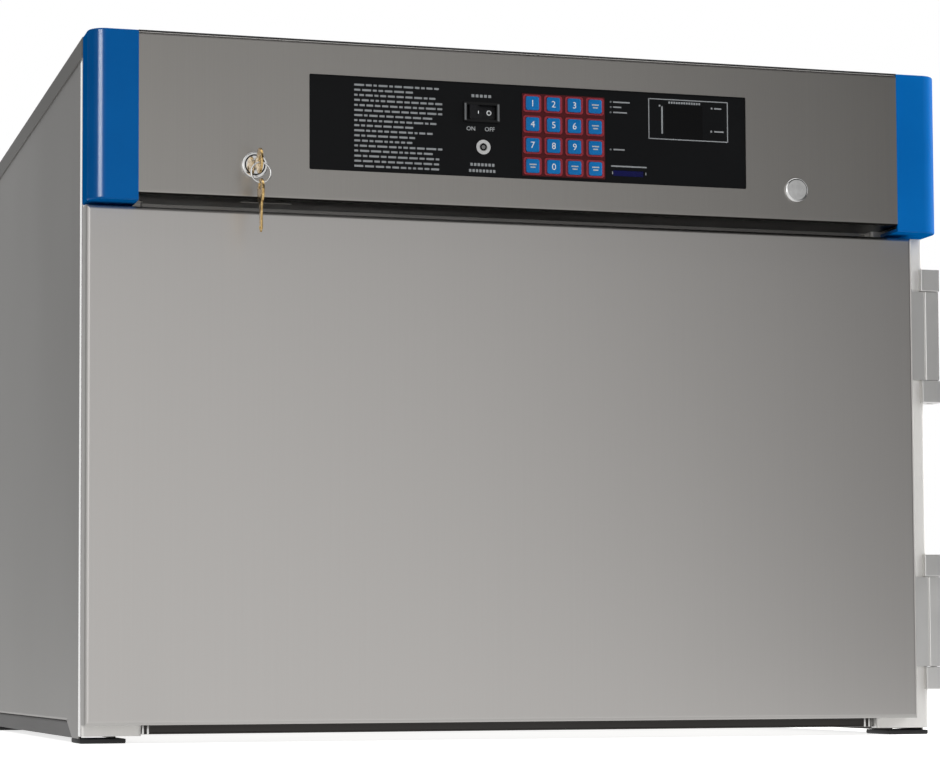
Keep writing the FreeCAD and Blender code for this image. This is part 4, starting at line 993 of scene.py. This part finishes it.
softboxes = {
    # the left ones draw the sheen of the steel and the streak down the rounded corner trim
    "key_softbox": {
        "power": 36, "size": (3.0, 2.8), "spot": (-1.95, -2.95, 1.6), "target": (-0.1, 0, 0.5),
        "diffuse": False, "glossy": True,
    },
    "strip_softbox": {
        "power": 270, "size": (1.1, 1.0), "spot": (-2.0, -2.55, 1.08), "target": (-0.3, -0.3, 0.5),
        "diffuse": False, "glossy": True,
    },
    # the right ones bring out the colours, without a glare in polished metal
    "colour_softbox": {
        "power": 21, "size": (1.0, 1.4), "spot": (1.6, -1.3, 1.2), "target": (0.2, 0, 0.4),
        "diffuse": True, "glossy": False,
    },
    "side_softbox": {
        "power": 100, "size": (1.6, 2.4), "spot": (3.3, 0.1, 1.3), "target": (0.3, 0, 0.3),
        "diffuse": True, "glossy": False,
    },
    "top_softbox": {
        "power": 25, "size": (3.0, 3.0), "spot": (0, 0.5, 3.4), "target": (0, 0, 0.3),
        "diffuse": True, "glossy": True,
    },
}
for name, box in softboxes.items():
    pickNothing()
    bpy.ops.object.light_add(type="AREA", location=box["spot"])
    lamp = bpy.context.object
    lamp.name = name
    lamp.data.energy = box["power"]
    lamp.data.shape = "RECTANGLE"
    lamp.data.size, lamp.data.size_y = box["size"]
    aim = Vector(box["target"]) - Vector(box["spot"])
    lamp.rotation_euler = aim.to_track_quat("-Z", "Y").to_euler()
    lamp.visible_diffuse = box["diffuse"]
    lamp.visible_glossy = box["glossy"]
# the steel doesn't see the strip
trims = bpy.data.collections.new("corner_trims")
for name in nodeFinishes[blueAbs]:
    trims.objects.link(nodes[name])
bpy.data.objects["strip_softbox"].light_linking.receiver_collection = trims


def addFlag(name, card):
    # a card that glows an even grey, in place of a lit matt card, and that only metal and gloss
    # see; one edge fades out so that no line shows
    pickNothing()
    bpy.ops.mesh.primitive_plane_add(size=1)
    flag = bpy.context.object
    flag.name = name
    for vert, corner in zip(flag.data.vertices, card["corners"]):
        vert.co = corner
    material, tree = newMaterial(name + "_card")
    where = addNode(tree, "ShaderNodeTexCoord").outputs["Object"]
    along = addNode(tree, "ShaderNodeSeparateXYZ", {}, {0: where}).outputs[card["axis"]]
    fade = addNode(
        tree, "ShaderNodeMapRange", {"interpolation_type": "SMOOTHSTEP"},
        {"Value": along, "From Min": card["clear"], "From Max": card["solid"]},
    )
    bare = addNode(tree, "ShaderNodeBsdfTransparent")
    shade = toLinear(card["shade"])
    full = addNode(tree, "ShaderNodeEmission", {}, {"Color": shade, "Strength": 1.0})
    both = addNode(tree, "ShaderNodeMixShader", {}, {0: fade, 1: bare, 2: full})
    addNode(tree, "ShaderNodeOutputMaterial", {}, {"Surface": both})
    paint(flag, material)
    flag.visible_camera = False
    flag.visible_diffuse = False
    flag.visible_shadow = False


# corners run in the order low left, low right, high left, high right; along its axis a card goes
# from clear to solid
flags = {
    "flag_above_front": {
        "corners": [(-9, -4.5, 0.3), (9, -4.5, 0.3), (-9, -4.5, 9), (9, -4.5, 9)],
        "axis": "Z", "clear": 1.0, "solid": 2.3, "shade": "585858",
    },
    "flag_right_front": {
        "corners": [(0.4, -4.4, 0), (9, -4.4, 0), (0.4, -4.4, 5), (9, -4.4, 5)],
        "axis": "X", "clear": 1.0, "solid": 3.2, "shade": "404040",
    },
    "flag_right_floor": {
        "corners": [(-0.2, -4.4, 0.006), (6, -4.4, 0.006), (-0.2, -0.34, 0.006), (6, -0.34, 0.006)],
        "axis": "X", "clear": 0.1, "solid": 1.2, "shade": "707070",
    },
    "flag_left_back": {
        "corners": [(-9, 3.6, 0), (-1.2, 3.6, 0), (-9, 3.6, 6), (-1.2, 3.6, 6)],
        "axis": "X", "clear": -1.2, "solid": -2.0, "shade": "4C4C4C",
    },
    "flag_left": {
        "corners": [(-5, 3.6, 0), (-5, -1.6, 0), (-5, 3.6, 6), (-5, -1.6, 6)],
        "axis": "Y", "clear": -1.6, "solid": -0.6, "shade": "4C4C4C",
    },
}
for name, card in flags.items():
    addFlag(name, card)

cameraFit = {
    "x": -712.0, "y": -2278.6, "z": 58.8,       # in the cabinet's millimetres
    "yaw": 16.03, "pitch": 3.541, "roll": -0.268,
    "lens": 107.56, "sensor": 36, "shiftY": 0.12, "farthest": 100,
}
bpy.ops.object.camera_add(location=place(cameraFit["x"], cameraFit["y"], cameraFit["z"]))
camera = bpy.context.object
camera.name = "front_camera"
yaw, pitch, roll = (math.radians(cameraFit[turn]) for turn in ("yaw", "pitch", "roll"))
ahead = Vector((math.sin(yaw), math.cos(yaw), 0))
right = Vector((math.cos(yaw), -math.sin(yaw), 0))
up = Vector((0, 0, 1))
forward = ahead * math.cos(pitch) + up * math.sin(pitch)
above = up * math.cos(pitch) - ahead * math.sin(pitch)
across = right * math.cos(roll) + above * math.sin(roll)
upward = above * math.cos(roll) - right * math.sin(roll)
camera.rotation_euler = Matrix((across, upward, -forward)).transposed().to_euler()
camera.data.sensor_width = cameraFit["sensor"]
camera.data.lens = cameraFit["lens"]
camera.data.shift_y = cameraFit["shiftY"]
camera.data.clip_end = cameraFit["farthest"]
bpy.context.scene.camera = camera
bpy.context.scene.view_settings.view_transform = "Standard"
print("studio set")

pickNothing()
